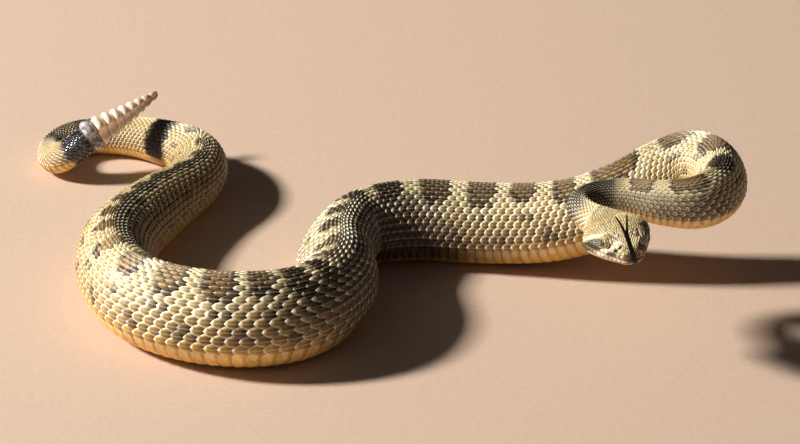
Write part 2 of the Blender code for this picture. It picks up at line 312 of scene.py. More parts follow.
# %% Outline of the head
# behind the snout, half width, crown over the mouth, jaw under it, in millimetres
HEAD_STATIONS = (
    (0.6, 3.4, 5.0, 2.2),
    (2.5, 6.0, 7.2, 3.6),
    (6.0, 8.1, 8.4, 4.4),
    (9.5, 10.0, 9.4, 5.2),
    (13.5, 12.1, 10.4, 6.2),
    (18.0, 14.2, 11.0, 7.1),
    (23.0, 16.2, 11.3, 7.8),
    (28.0, 17.2, 11.2, 8.1),
    (32.0, 16.6, 10.8, 7.8),
    (35.0, 14.2, 10.4, 7.0),
    (37.0, 12.2, 10.2, 6.2),
    (41.0, 10.0, 9.8, 5.6),
)
FACE = 0.6 * MM                                       # where the snout starts to close
FACE_REACH = 3.4 * MM                                 # distance given to the closing face
FACE_HEIGHT = 1.8 * MM                                # where over the mouth the face closes
CROWN_SQUARE, CROWN_ROUNDING, JAW_SQUARE = 0.62, 0.20, 0.80     # 1 is an oval ring, less is boxier
SNOUT_END = NECK_END + HEAD_LENGTH - FACE + FACE_REACH
OUTLINE = smooth_line(HEAD_STATIONS, 12) * MM


def station(back):
    """Half width, crown and jaw at a distance behind the snout."""
    return [np.interp(back, OUTLINE[:, 0], column) for column in OUTLINE.T[1:]]


def boxed(value, power):
    """A sine or cosine bent so that an oval grows corners."""
    return np.sign(value) * np.abs(value) ** power


def head_profile(along, turn):
    """Distance behind the snout, offset to the left and height over the mouth."""
    back = np.clip(HEAD_LENGTH + NECK_END - along, FACE, OUTLINE[-1, 0])
    width, crown, jaw = station(back)
    share = (back - FACE) / HEAD_LENGTH
    square = np.where(np.cos(turn) > 0, CROWN_SQUARE + CROWN_ROUNDING * share, JAW_SQUARE)
    left = -width * boxed(np.sin(turn), square)
    height = np.where(np.cos(turn) > 0, crown, jaw) * boxed(np.cos(turn), square)
    closing = np.clip((along - NECK_END - HEAD_LENGTH + FACE) / FACE_REACH, 0, 1)
    back = np.where(closing > 0, FACE * (1 - closing) ** 2, back)
    return back, left * (1 - closing), FACE_HEIGHT + (height - FACE_HEIGHT) * (1 - closing)


head_width = 2 * station(28 * MM)[0]
print(f"head {HEAD_LENGTH / MM:.0f} mm long and {head_width / MM:.1f} mm wide")

# %% Pits, nostrils, sockets and the line of the mouth
EYE_RADIUS = 2.7 * MM
EYE_PLACE = (12.2, 9.0, 6.0)                          # behind the snout, out, above the mouth, mm
MOUTH_CORNER = 27.5 * MM
MOUTH_DEPTH, MOUTH_HALF = 0.55 * MM, 0.32 * MM        # the groove between the lips
LIP_SWELL, LIP_MIDDLE, LIP_HALF = 0.18 * MM, 1.3 * MM, 0.9 * MM
# behind the snout, above the mouth, reach along, reach up, push outwards, in millimetres
RELIEF = (
    (3.9, 6.3, 0.55, 0.85, -0.9),                     # nostril
    (3.9, 6.2, 1.7, 1.5, 0.35),                       # swell round the nostril
    (5.4, 4.1, 0.80, 0.75, -1.5),                     # heat pit
    (5.6, 3.9, 2.0, 1.6, 0.25),                       # swell round the pit
    (12.0, 6.0, 2.2, 1.7, -0.8),                      # eye socket
    (8.6, 7.9, 3.4, 0.8, 0.45),                       # edge from the brow to the nostril
    (22.0, 4.5, 5.0, 3.2, 0.5),                       # cheek muscle
    (25.5, -3.2, 5.0, 2.6, 0.5),                      # back of the jaw
)


def head_relief(back, left, height):
    """How far each place of the head is pushed outwards."""
    push = np.zeros_like(back)
    beside = np.clip((np.abs(left) / MM - 2.0) / 1.5, 0, 1)
    for at, up, reach, reach_up, amount in RELIEF:
        away = ((back / MM - at) / reach) ** 2 + ((height / MM - up) / reach_up) ** 2
        push += amount * MM * np.exp(-away) * beside
    lip = np.clip((MOUTH_CORNER - back) / (2 * MM), 0, 1)
    push -= MOUTH_DEPTH * np.exp(-(height / MOUTH_HALF) ** 2) * lip
    push += LIP_SWELL * np.exp(-((np.abs(height) - LIP_MIDDLE) / LIP_HALF) ** 2) * lip
    return push


print("relief spots on each side of the head:", len(RELIEF))

# %% The whole surface
def rounded_step(value, low, high):
    """0 below low, 1 above high, with an easy bend between."""
    share = np.clip((value - low) / (high - low), 0, 1)
    return share * share * (3 - 2 * share)


def joined_surface(along, turn):
    """Body and head, faded into each other at the nape."""
    on_head = rounded_step(along, NECK_END - 4 * MM, NECK_END + 5 * MM)[..., None]
    return (1 - on_head) * body_ring(along, turn) + on_head * head_place(*head_profile(along, turn))


NAPE_REACH, NAPE_LENGTH = 3 * MM, 6 * MM
NAPE_WEIGHTS = ((-2, 1 / 16), (-1, 4 / 16), (0, 6 / 16), (1, 4 / 16), (2, 1 / 16))


def plain_surface(along, turn):
    """The whole animal's surface before the head's relief, with the crease of the nape averaged out."""
    surface = joined_surface(along, turn)
    near = np.abs(along - NECK_END) < 2.5 * NAPE_LENGTH
    here, there = along[near], turn[near]
    reach = NAPE_REACH * np.exp(-((here - NECK_END) / NAPE_LENGTH) ** 2)
    surface[near] = sum(weight * joined_surface(here + shift * reach, there)
                        for shift, weight in NAPE_WEIGHTS)
    return surface


def outward(along, turn, surface):
    """Unit normals, from two short steps along and round."""
    step, swing = 0.15 * MM, 0.008
    round_way = surface(along, turn + swing) - surface(along, turn - swing)
    along_way = surface(along + step, turn) - surface(along - step, turn)
    return unit(np.cross(round_way, along_way))


def wrap(along, turn, lift=0.0):
    """Points on the finished surface, raised by lift along its normal."""
    point = plain_surface(along, turn)
    push = np.broadcast_to(lift, along.shape).copy()
    near = along > NECK_END - 2 * MM
    push[near] += head_relief(*head_profile(along[near], turn[near]))
    point += outward(along, turn, plain_surface) * push[..., None]
    point[..., 2] = np.maximum(point[..., 2], 0)
    return point


print("the snout's tip is at", wrap(np.array([SNOUT_END]), np.zeros(1))[0].round(4))

# %% [markdown]
# ## Sizes of the scales
# Each belly plate answers to one scale in every row of the back, so one number, the pitch, rules
# them all. It is largest at mid-body and shrinks with the girth. The skin lies below the outer
# surface by the thickness of the scales.

# %% Pitch, thickness and rows
MID_WIDTH, MID_PITCH = 24 * MM, 5.4 * MM
HEAD_PITCH_WIDTH = 7.4 * MM                           # the head's scales are as fine as on so thin a body
PITCH_POWER = 0.75
SCALE_THICKNESS = 0.18                                # in pitches
BACK_ROWS, ROW_WIDENING = 25, 0.75
ROW_EDGE = math.radians(110)                          # turn at which the belly plates start
SAFE_INSET = 0.33 * MM                                # keeps every tip inside the plain model's facets


def pitch(along):
    """Distance from one scale of a row to the next."""
    width = np.where(along > NECK_END, HEAD_PITCH_WIDTH, np.interp(along, DISTANCE, SPINE[:, 4]))
    return MID_PITCH * (width / MID_WIDTH) ** PITCH_POWER


def coat_depth(along):
    """How far the skin lies under the outer surface."""
    on_head = rounded_step(along, NECK_END - 3 * MM, NECK_END + 3 * MM)
    return SCALE_THICKNESS * pitch(along) + 0.05 * MM + 0.10 * MM * on_head


def row_turns():
    """Middle and half breadth of each row, wider towards the belly."""
    place = np.arange(BACK_ROWS) - BACK_ROWS // 2
    breadth = 1 + ROW_WIDENING * (place / (BACK_ROWS // 2)) ** 2
    breadth *= 2 * ROW_EDGE / breadth.sum()
    edge = np.concatenate([[0], np.cumsum(breadth)]) - ROW_EDGE
    return (edge[1:] + edge[:-1]) / 2, breadth / 2


ROW_TURN, ROW_HALF = row_turns()
COUNT_ALONG = np.concatenate([[0], np.cumsum(ROUTE_STEP / pitch(DISTANCE[1:]))])


def nth_place(count):
    """Distance along the body at which so many pitches have passed."""
    return np.interp(count, COUNT_ALONG, DISTANCE)


print("scales in each row:", int(np.interp(NECK_END, DISTANCE, COUNT_ALONG)
                                 - np.interp(TAIL_START, DISTANCE, COUNT_ALONG)))

# %% [markdown]
# ## The markings
# A prairie rattlesnake is olive tan, with a row of brown blotches down the back. Each has a dark
# edge and a thin pale border. Smaller spots sit on the flank, under the blotches and between
# them. Near the tail the blotches turn into black bands, and the last stretch before the rattle
# is black. Where the body bends, the ridge and the inside of the fold are dark with cream tips,
# and the flanks that the sun reaches are paler. The masks are worked out once, as numbers between
# 0 and 1, and both the skin and every scale look them up, so the two always agree.

# %% Blotches, spots and bands
# middle and half length along the spine, in millimetres, and how dark; many of the darkest sit on sides
# turned away from the light, so part of that darkness is painted shade
BLOTCHES = (
    (172, 4, 0.3), (188, 4.5, 0.3), (204, 5, 0.3), (220, 5, 0.4), (237, 5, 0.5),
    (254, 5.5, 0.6), (271, 5.5, 0.5), (289, 6, 0.5), (309, 6, 0.3), (332, 6, 0),
    (359, 7, 0), (384, 8, 0), (408, 8, 0.1), (428, 6, 0.5), (444, 5.5, 0.9),
    (458, 4.5, 0.9), (471, 4.5, 0.5), (488, 6, 0.5), (511, 6.5, 0.8), (529, 5, 0.9),
    (546, 6, 1.0), (567, 7.5, 1.0), (592, 8, 0.8), (618, 8, 0.6), (642, 8, 0.4),
    (668, 8, 0.3), (700, 13, 0.15), (733, 8, 0.2), (755, 6.5, 0.3), (774, 7, 1.0),
    (799, 9, 0.25), (822, 6.5, 0.1), (840, 4, 0.8), (858, 7, 1.0),
)
BETWEEN = tuple(tuple((one + other) / 2 for one, other in zip(first[:2], second[:2]))
                for first, second in zip(BLOTCHES, BLOTCHES[1:]))
BANDS = ((84, 2.8), (104, 2.8), (124, 3.0), (155, 6.8))
BLOTCHES_FROM = (0.163, 0.170)                        # along the spine, where bands give way to blotches
FAINT_BANDS_TO = 0.13
CAP_END = (0.0580, 0.0605)                            # the black before the rattle ends here
BLOTCH_SPREAD, LEAST_SPREAD = math.radians(46), math.radians(24)
# middle turn, half turn and size against a blotch
HIGH_SPOTS, LOW_SPOTS = (math.radians(62), math.radians(8), 0.62), (math.radians(88), math.radians(8), 0.50)
print(len(BLOTCHES), "blotches and", len(BANDS), "bands")

# %% Soft marks in rows
def wobble(along, turn, seed):
    """A gentle, even unevenness between -1 and 1."""
    a, b = along / MM, turn * 10
    return (np.sin(a * 0.61 + b * 0.37 + seed) + np.sin(a * 0.23 - b * 0.71 + 2.1 * seed)
            + np.sin(a * 1.13 + b * 0.93 + 3.7 * seed)) / 3


def nearest_mark(along, marks):
    """Signed distance from the nearest mark, in its half lengths, and its number."""
    middle, half = np.array(marks).T[:2] * MM
    gap = (along[..., None] - middle) / half
    number = np.abs(gap).argmin(axis=-1)
    return np.take_along_axis(gap, number[..., None], -1)[..., 0], number


def spots(along, turn, marks, row):
    """Small dark spots in a row along each flank."""
    middle_turn, half_turn, size = row
    gap, _ = nearest_mark(along, marks)
    away = np.hypot(gap / size, (np.abs(turn) - middle_turn) / half_turn)
    return 1 - rounded_step(away + 0.15 * wobble(along, turn, 1.9), 0.80, 1.15)


def window(value, low, high, soft):
    """1 between two values, fading over a soft margin on either side."""
    return rounded_step(value, low - soft, low + soft) * (1 - rounded_step(value, high - soft, high + soft))


def strongest(*masks):
    """The highest of several masks at each place."""
    return np.maximum.reduce(masks)


print("a soft window from 1 to 2:", window(np.array([0.8, 1.0, 1.5, 2.0, 2.2]), 1, 2, 0.2).round(2))

# %% Painted shade on ridges and folds, painted light on flanks
RIDGE_ALONG, RIDGE_TURN = (0.20, 0.27, 0.294, 0.319, 0.345), (-0.15, -0.16, -0.24, -0.42, -0.54)
ALL_ROUND = (-4.0, 4.0, 0.1)
# how strong, then from, to and softness along the spine in metres, then the same in turn
# dark rows with cream tips on the ridge: painted shade and painted highlight along the edge of the light
PINCHED_RIDGE = (1.00, (0.175, 0.345, 0.020), (-0.205, 0.205, 0.035))
BEND_RIDGE = (0.85, (0.466, 0.548, 0.010), (-0.10, 0.50, 0.10))
CURL_RIDGE = (0.90, (0.075, 0.130, 0.010), (-0.75, 0.75, 0.15))
# painted shade inside the bends and just past the ridge, where the light doesn't reach
PINCHED_FOLD_SHADE = (0.97, (0.262, 0.345, 0.020), (-0.65, -0.10, 0.15))
FIRST_FOLD_SHADE = (0.66, (0.180, 0.370, 0.020), (-2.40, -0.15, 0.20))
SECOND_FOLD_SHADE = (1.00, (0.428, 0.600, 0.030), (0.45, 2.40, 0.15))
SECOND_FOLD_LEAN = 0.022                              # metres for each radian of turn
NECK_HOOK = (1.00, (0.834, 0.868, 0.004), ALL_ROUND)
# painted glints on the tips and painted shade between them, on the outer side of the raised loop
NEAR_LOOP = (1.00, (0.755, 0.842, 0.010), (-1.90, -0.90, 0.15))
LOOP_LEFT, LOOP_DARKENS = 0.42, (0.772, 0.790)        # strength on the left, and where it grows to one
# painted light: paler patches where the flank faces the low lamp, and on the nape
PAINTED_SUNLIGHT = (
    (0.55, (0.300, 0.385, 0.030), (0.20, 1.90, 0.30)),          # front bend
    (0.90, (0.738, 0.790, 0.010), (0.90, 2.80, 0.20)),          # inside of the raised loop
    (0.60, (0.775, 0.836, 0.004), (-1.30, -0.10, 0.20)),        # near side of the loop
    (0.30, (0.622, 0.690, 0.020), (0.70, 2.00, 0.20)),          # before the loop
    (0.70, (0.866, 0.876, 0.003), ALL_ROUND),                   # nape
)


def patch(along, turn, row):
    """One soft patch."""
    strength, reach, swing = row
    return strength * window(along, *reach) * window(turn, *swing)


def from_ridge(along, turn):
    """Turn from the pinched ridge of the back, which slides to the right where the body bends."""
    return turn - np.interp(along, RIDGE_ALONG, RIDGE_TURN)


def ridge_shade_dots(along, turn):
    """The ridge itself: dark scales with cream tips in rows, painted shade and painted highlight where the
    light turns over it.
    """
    return strongest(patch(along, from_ridge(along, turn), PINCHED_RIDGE),
                     patch(along, turn, BEND_RIDGE), patch(along, turn, CURL_RIDGE))


def painted_fold_shade(along, turn):
    """Painted shade on the dark sides of the first two bends."""
    leaning = along - SECOND_FOLD_LEAN * (turn - 1.0)
    return strongest(patch(along, turn, FIRST_FOLD_SHADE), patch(along, from_ridge(along, turn), PINCHED_FOLD_SHADE),
                     patch(leaning, turn, SECOND_FOLD_SHADE))


def painted_loop_light(along, turn):
    """Painted light and shade on the outer side of the raised loop: cream tips as painted glints, dark gaps
    as painted shade, darker on its right.
    """
    strength = LOOP_LEFT + (1 - LOOP_LEFT) * rounded_step(along, *LOOP_DARKENS)
    return strength * patch(along, turn, NEAR_LOOP)


def painted_sunlight(along, turn):
    """Painted light: the palest stretches of flank, and the nape."""
    return strongest(*(patch(along, turn, row) for row in PAINTED_SUNLIGHT))


print(len(PAINTED_SUNLIGHT), "bleached patches")

# %% Masks of the body
def blotch_masks(along, turn):
    """Blotches with the spots of the flank, their dark edges, and their pale borders."""
    gap, number = nearest_mark(along, BLOTCHES)
    spread = BLOTCH_SPREAD * (1 + 0.12 * np.sin(number * 2.3)) * rounded_step(along, 0.12, 0.36)
    spread = np.maximum(spread, LEAST_SPREAD)
    away = (np.abs(gap) ** 3 + (np.abs(turn) / spread) ** 3.5) ** (1 / 3)
    away += 0.08 * wobble(along, turn, 0.4)
    trunk = rounded_step(along, *BLOTCHES_FROM)
    blotch = (1 - rounded_step(away, 0.96, 1.08)) * trunk
    spot = strongest(spots(along, turn, BLOTCHES, HIGH_SPOTS), spots(along, turn, BETWEEN, LOW_SPOTS))
    spot = 0.85 * spot * trunk
    edge = 0.85 * (1 - rounded_step(np.abs(away - 0.90), 0.08, 0.18)) * trunk
    edge = strongest(edge, np.array(BLOTCHES)[number, 2] * blotch, 0.9 * spot)
    pale = (1 - rounded_step(np.abs(away - 1.22), 0.18, 0.32)) * trunk
    return strongest(blotch, spot), edge, pale


def black_mask(along, turn):
    """The tail's bands and the black stretch before the rattle."""
    band_gap, _ = nearest_mark(along, BANDS)
    band = np.abs(band_gap) + 0.16 * wobble(along, turn, 2.6)
    black = (1 - rounded_step(band, 0.90, 1.02)) * (1 - rounded_step(np.abs(turn), 1.75, 2.1))
    faint = 0.6 * (1 - rounded_step(np.abs(turn), 0.75, 1.0))
    black *= np.where(along < FAINT_BANDS_TO, faint, 0.96)
    return strongest(black, 1 - rounded_step(along + 1.5 * MM * wobble(along, turn, 5.0), *CAP_END))


def body_masks(along, turn):
    """Blotch, dark edge, pale border and black of the neck, trunk and tail; the first three also carry
    painted shade of the ridge, folds and loop, and painted light.
    """
    blotch, edge, pale = blotch_masks(along, turn)
    ridge, fold, loop = ridge_shade_dots(along, turn), painted_fold_shade(along, turn), painted_loop_light(along, turn)
    nape = patch(along, turn, NECK_HOOK)
    blotch = strongest(blotch, ridge, nape)
    # painted shade of the folds, the ridge and the loop darkens the edges and blotches
    edge = strongest(edge, ridge, np.minimum(1, 1.8 * fold) * blotch, nape, 0.95 * fold, 0.72 * loop)
    blotch = strongest(blotch, 0.95 * fold, 0.66 * loop)
    pale = strongest(pale * (1 - 0.6 * fold), loop, ridge, 0.8 * nape, 0.7 * painted_sunlight(along, turn))
    return blotch, edge, pale, black_mask(along, turn)


in_blotch = body_masks(np.array([0.384]), np.zeros(1))
print("masks in the middle of a blotch:", [round(float(mask[0]), 2) for mask in in_blotch])

# %% Marks on the face
# from (behind the snout, above the mouth) to the same, then half breadth, in millimetres
CREAM_BARS = (
    ((4.6, 8.4), (7.8, 7.4), 0.6), ((7.4, 7.6), (8.5, 6.3), 1.0), ((8.5, 6.3), (11.0, 3.1), 1.4),
    ((11.0, 3.1), (16.5, -1.6), 1.5), ((16.2, 9.2), (20.5, 7.0), 0.8), ((20.5, 7.0), (28.0, 2.0), 1.0),
    ((28.0, 2.0), (36.0, -1.0), 1.1), ((1.2, 5.2), (2.2, 2.4), 0.6), ((2.6, 6.6), (3.4, 4.6), 0.5),
    ((5.6, 6.4), (7.0, 5.0), 0.8),
)
DARK_BARS = (
    ((12.5, 4.2), (20.0, 1.6), 2.0), ((20.0, 1.6), (30.0, -1.8), 2.7), ((16.0, 5.6), (22.0, 3.6), 1.6),
    ((7.0, 1.9), (10.6, 0.4), 1.6), ((5.0, 4.5), (5.6, 3.9), 1.0), ((4.1, 6.9), (3.9, 6.1), 0.7),
    ((1.6, 7.0), (3.4, 8.0), 0.7), ((0.8, 3.4), (1.4, 2.2), 0.6),
)
# painted shade on the left cheek only, the side turned away from the lamp, in the same form
LEFT_CHEEK_SHADE = (
    ((11.0, 7.4), (12.0, 4.2), 2.2), ((12.0, 3.8), (17.0, 3.2), 2.2), ((19.8, 8.2), (26.0, 5.6), 1.9),
    ((2.4, 6.0), (4.4, 2.4), 1.6),
)
# the same on the crown, from (behind the snout, out from the midline)
CROWN_LINES = (
    ((16.6, 8.2), (8.4, 5.0), 0.5), ((12.6, 3.2), (10.6, 3.8), 0.6), ((15.0, 5.0), (12.6, 4.6), 0.35),
    ((20.0, 7.8), (18.0, 8.0), 0.3),
)
CROWN_SPOTS = (((13.6, 2.4), (13.2, 2.8), 0.55), ((12.0, 4.6), (11.2, 4.8), 0.4))
CROWN_TO = (0.75, 0.85)                               # turn at which the crown's marks end
HEAD_SHADE = 0.13                                     # the whole head is a little darker than the neck


def bar_mask(back, height, bars):
    """How much a place on the side of the head lies in any of the bars."""
    mask = np.zeros_like(back)
    for start, end, half in bars:
        start, end = np.array(start) * MM, np.array(end) * MM
        way = end - start
        share = np.clip(((back - start[0]) * way[0] + (height - start[1]) * way[1]) / (way @ way), 0, 1)
        away = np.hypot(back - start[0] - share * way[0], height - start[1] - share * way[1])
        mask = np.maximum(mask, 1 - rounded_step(away, 0.7 * half * MM, 1.15 * half * MM))
    return mask


def face_marks(along, turn):
    """Cream and dark bars of the face, painted shade on the left cheek, the pale lips and throat."""
    back, left, height = head_profile(along, turn)
    on_head = rounded_step(along, NECK_END - 2 * MM, NECK_END + 3 * MM)
    beside = rounded_step(np.abs(left), 3.0 * MM, 5.0 * MM)
    # painted shade on the left cheek
    left_cheek_shade = bar_mask(back, height, LEFT_CHEEK_SHADE) * rounded_step(left, 2.5 * MM, 4.0 * MM)
    cream = bar_mask(back, height, CREAM_BARS) * beside * (1 - 0.9 * left_cheek_shade)
    dark = bar_mask(back, height, DARK_BARS) * beside * (1 - cream)
    on_top = 1 - rounded_step(np.abs(turn), *CROWN_TO)
    dark = strongest(dark, left_cheek_shade, bar_mask(back, np.abs(left), CROWN_LINES) * on_top)
    dark = np.maximum(dark, HEAD_SHADE)
    cream = strongest(cream, bar_mask(back, np.abs(left), CROWN_SPOTS) * on_top)
    lips = 1 - rounded_step(height, 0.2 * MM, 1.6 * MM)
    return cream * on_head, dark * on_head, lips * on_head


print("bars on each side of the face:", len(CREAM_BARS) + len(DARK_BARS) + len(CROWN_LINES))

# %% All masks together
BELLY_FROM = (math.radians(96), math.radians(112))    # turn at which the flank gives way to the belly
TAN_BELLY = (0.8, (0.705, 0.790, 0.015), (0.1, 4.0, 0.1))       # inside the raised loop


def all_marks(along, turn):
    """Three triples of masks: (blotch, edge, pale), (black, cream, dark), (belly, flank, lips)."""
    turn = (turn + math.pi) % math.tau - math.pi
    blotch, edge, pale, black = body_masks(along, turn)
    cream, dark, lips = face_marks(along, turn)
    off_head = 1 - rounded_step(along, NECK_END - 3 * MM, NECK_END + 2 * MM)
    flank = rounded_step(np.abs(turn), 0.5, 1.9)
    belly = rounded_step(np.abs(turn), *BELLY_FROM) * (1 - patch(along, turn, TAN_BELLY))
    return (np.stack([blotch * off_head, edge * off_head, pale * off_head], -1),
            np.stack([black * off_head, cream, dark], -1),
            np.stack([belly * off_head, flank * off_head, lips], -1))


print("masks for each corner:", sum(masks.shape[-1] for masks in all_marks(np.array([0.4]), np.zeros(1))))

# %% [markdown]
# ## Helpers that turn flat meshes into pieces
# A finished piece keeps its place in its mesh, rides on the frame's one body and hides the solids
# it stands for. Masks go onto the corners of the mesh as attributes, where the materials find
# them. Tubes start as flat grids, which keep their corners in order, so that whole arrays of
# places can be worked out at once.

# %% Finish a piece
def mesh_from(name, bm):
    """Turn a bmesh into a mesh, and free it."""
    mesh = bpy.data.meshes.new(name)
    bm.to_mesh(mesh)
    bm.free()
    return mesh


def finished(name, mesh, material, replaced=(), smooth_limit=50):
    """Turn a mesh into a named piece that rides on the frame."""
    mesh.shade_smooth()
    mesh.set_sharp_from_angle(angle=math.radians(smooth_limit))
    mesh.materials.clear()
    mesh.materials.append(material)
    piece = placed(name, mesh)
    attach(piece, "root")
    if replaced:
        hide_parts(*replaced)
    return piece


# %% Numbers on the corners
def write_vectors(mesh, name, values):
    """Store three numbers on each corner."""
    layer = mesh.attributes.new(name, "FLOAT_VECTOR", "POINT")
    layer.data.foreach_set("vector", np.asarray(values, np.float32).ravel())


def write_marks(mesh, along, turn, place, nature):
    """Store the markings, each corner's own place in its scale and the scale's nature."""
    for name, values in zip(("back_marks", "dark_marks", "zones"), all_marks(along, turn)):
        write_vectors(mesh, name, values)
    write_vectors(mesh, "scale_place", place)             # across, along, nearness to the rim
    write_vectors(mesh, "scale_nature", nature)           # tint, strength of keel, strength of rim


def carry(bm, name, values):
    """Keep a number on every corner while the mesh is still being edited."""
    layer = bm.verts.layers.float.new(name)
    for vertex, value in zip(bm.verts, values):
        vertex[layer] = value


def carried(mesh, name):
    """The numbers that were kept on a mesh's corners."""
    return np.array([item.value for item in mesh.attributes[name].data])


print("masks go by the names back_marks, dark_marks and zones")

# %% Move, close and extrude
def corners(bm):
    """Places of all corners, as an array."""
    return np.array([vertex.co for vertex in bm.verts])


def move_corners(bm, places):
    """Send every corner to its place."""
    for vertex, place in zip(bm.verts, places):
        vertex.co = place


def close_holes(bm):
    """Fill every open rim, and turn all faces outwards."""
    bmesh.ops.holes_fill(bm, edges=bm.edges, sides=0)
    bmesh.ops.recalc_face_normals(bm, faces=bm.faces)


def close_tube(bm):
    """Join the seam of a rolled grid, and close its ends."""
    bmesh.ops.remove_doubles(bm, verts=bm.verts, dist=0.002 * MM)
    close_holes(bm)


def extruded_rim(bm):
    """Extrude the open rim of a sheet, and give back its new corners, still in place."""
    rim = [edge for edge in bm.edges if edge.is_boundary]
    made = bmesh.ops.extrude_edge_only(bm, edges=rim)["geom"]
    return [item for item in made if isinstance(item, bmesh.types.BMVert)]


def rolled_grid(sides, rings):
    """A flat grid, to be rolled into a tube, with its corners' shares across and along."""
    bm = bmesh.new()
    bmesh.ops.create_grid(bm, x_segments=sides, y_segments=rings, size=0.5)
    flat = corners(bm)
    return bm, flat[:, 0] + 0.5, flat[:, 1] + 0.5


test_grid = rolled_grid(2, 2)[0]
print("a grid of two by two has", len(corners(test_grid)), "corners")
test_grid.free()

# %% [markdown]
# ## Colour of skin and scales
# One node group mixes the masks into a colour, so that the thin skin between the scales and the
# scales themselves can't drift apart. Each scale is darker in its middle and pale on its free
# edge, which is what makes the net of light lines on the flanks. Its root and outer wall get
# painted shade where the next scale overlaps, and the pale edge carries some painted sheen.

# %% Small helpers for node trees
class Board:
    """A node tree with short ways to add what this lesson uses."""

    def __init__(self, tree):
        self.tree = tree

    def add(self, kind, **settings):
        """A new node."""
        node = self.tree.nodes.new(kind)
        for name, value in settings.items():
            setattr(node, name, value)
        return node

    def feed(self, socket, value):
        """Link a socket, or set a value on it."""
        if isinstance(value, bpy.types.NodeSocket):
            self.tree.links.new(value, socket)
        else:
            socket.default_value = value

    def math(self, operation, first, second=0.5):
        """One operation on one or two numbers."""
        node = self.add("ShaderNodeMath", operation=operation)
        self.feed(node.inputs[0], first)
        self.feed(node.inputs[1], second)
        return node.outputs[0]

    def times(self, first, *others):
        """Numbers multiplied."""
        for other in others:
            first = self.math("MULTIPLY", first, other)
        return first

    def plus(self, first, second):
        """Two numbers added."""
        return self.math("ADD", first, second)

    def minus(self, first, second):
        """The second number taken from the first."""
        return self.math("SUBTRACT", first, second)

    def rest(self, value):
        """What is missing to one."""
        return self.minus(1.0, value)

    def mix(self, factor, first, second, blend="MIX"):
        """Two colours mixed."""
        node = self.add("ShaderNodeMix", data_type="RGBA", blend_type=blend)
        for socket, value in zip((node.inputs[0], node.inputs[6], node.inputs[7]), (factor, first, second)):
            self.feed(socket, value)
        return node.outputs[2]

    def step(self, value, low, high):
        """0 at low, 1 at high, with an easy bend between."""
        node = self.add("ShaderNodeMapRange", interpolation_type="SMOOTHSTEP")
        for socket, number in zip(node.inputs[:3], (value, low, high)):
            self.feed(socket, number)
        return node.outputs[0]

    def noise(self, scale, detail):
        """A cloud of noise on the piece's own place."""
        node = self.add("ShaderNodeTexNoise")
        node.inputs["Scale"].default_value = scale
        node.inputs["Detail"].default_value = detail
        self.feed(node.inputs["Vector"], self.add("ShaderNodeTexCoord").outputs["Object"])
        return node.outputs["Fac"]

    def masks(self, name):
        """The three numbers of a vector attribute."""
        attribute = self.add("ShaderNodeAttribute", attribute_name=name)
        split = self.add("ShaderNodeSeparateXYZ")
        self.feed(split.inputs[0], attribute.outputs["Vector"])
        return split.outputs[:]

    def bump(self, height, strength, distance):
        """A normal that follows a height."""
        node = self.add("ShaderNodeBump")
        node.inputs["Strength"].default_value = strength
        node.inputs["Distance"].default_value = distance
        self.feed(node.inputs["Height"], height)
        return node.outputs["Normal"]


print("a board has", len([word for word in dir(Board) if word[0] != "_"]), "short ways")

# %% A new material, and paint
def new_material(name, roughness, coat=0.0, coat_roughness=0.03, shine=0.5):
    """A material with its board and its shader, whose plain numbers are set."""
    material = bpy.data.materials.new(name)
    material.use_nodes = True
    shader = material.node_tree.nodes["Principled BSDF"]
    shader.inputs["Roughness"].default_value = roughness
    shader.inputs["Coat Weight"].default_value = coat
    shader.inputs["Coat Roughness"].default_value = coat_roughness
    shader.inputs["Specular IOR Level"].default_value = shine
    return material, Board(material.node_tree), shader


def paint(red, green, blue):
    """A colour written 0 to 255, as the eye reads it."""
    return tuple((value / 255) ** 2.2 for value in (red, green, blue)) + (1.0,)


print("paint(214, 196, 140) is", [round(value, 2) for value in paint(214, 196, 140)])

# %% Paints of the snake
# free edge and middle of a scale
BACK_PAINTS = paint(220, 203, 156), paint(170, 144, 98)
FLANK_PAINTS = paint(228, 212, 168), paint(152, 116, 70)
BLOTCH_PAINTS = paint(116, 88, 56), paint(172, 138, 92)
# dark blotch edges, which also paint the shade in folds and on the loop
EDGE_AND_SHADE_PAINTS = paint(22, 16, 12), paint(64, 46, 30)
BELLY_PAINTS = paint(250, 220, 146), paint(242, 188, 100)
# painted shade for the belly in the folds
SHADED_BELLY_PAINTS = paint(44, 33, 24), paint(80, 58, 36)
IN_SCALE_PAINTS = BACK_PAINTS, FLANK_PAINTS, BLOTCH_PAINTS, EDGE_AND_SHADE_PAINTS, BELLY_PAINTS, SHADED_BELLY_PAINTS
# plain and flecked
LIP_PAINTS = paint(228, 198, 156), paint(176, 118, 76)
FACE_BAR_AND_SHADE_PAINTS = paint(98, 84, 62), paint(52, 44, 34)
# on the back and on the flank; the flank's cooler rim is partly painted sheen
RIM_PAINTS = paint(255, 251, 236), paint(238, 238, 242)
NET_PAINTS = paint(86, 71, 49), paint(200, 200, 172)
CLOUD_PAINT, PALE_PAINT, MOTTLE_PAINT = paint(142, 124, 78), paint(238, 224, 182), paint(168, 116, 62)
CREAM_PAINT, TIP_PAINT, KEEL_PAINT = paint(246, 236, 200), paint(254, 248, 222), paint(222, 202, 150)
BLACK_PAINT, GLINT_PAINT = paint(25, 25, 32), paint(176, 186, 210)
BLACK_CAP = 0.965, 1.0                                # the black mask on the cap, not on the bands
print("the middle of a blotch is", [round(value, 2) for value in BLOTCH_PAINTS[1]])

# %% The markings group
# the last mask is random tone with painted light and painted shade; Blotch, Edge, Pale and Dark also carry
# painted shade and painted light
MASK_NAMES = ("Blotch", "Edge", "Pale", "Black", "Cream", "Dark", "Belly", "Flank", "Lips",
              "Middle", "Rim", "Tip", "Tint")


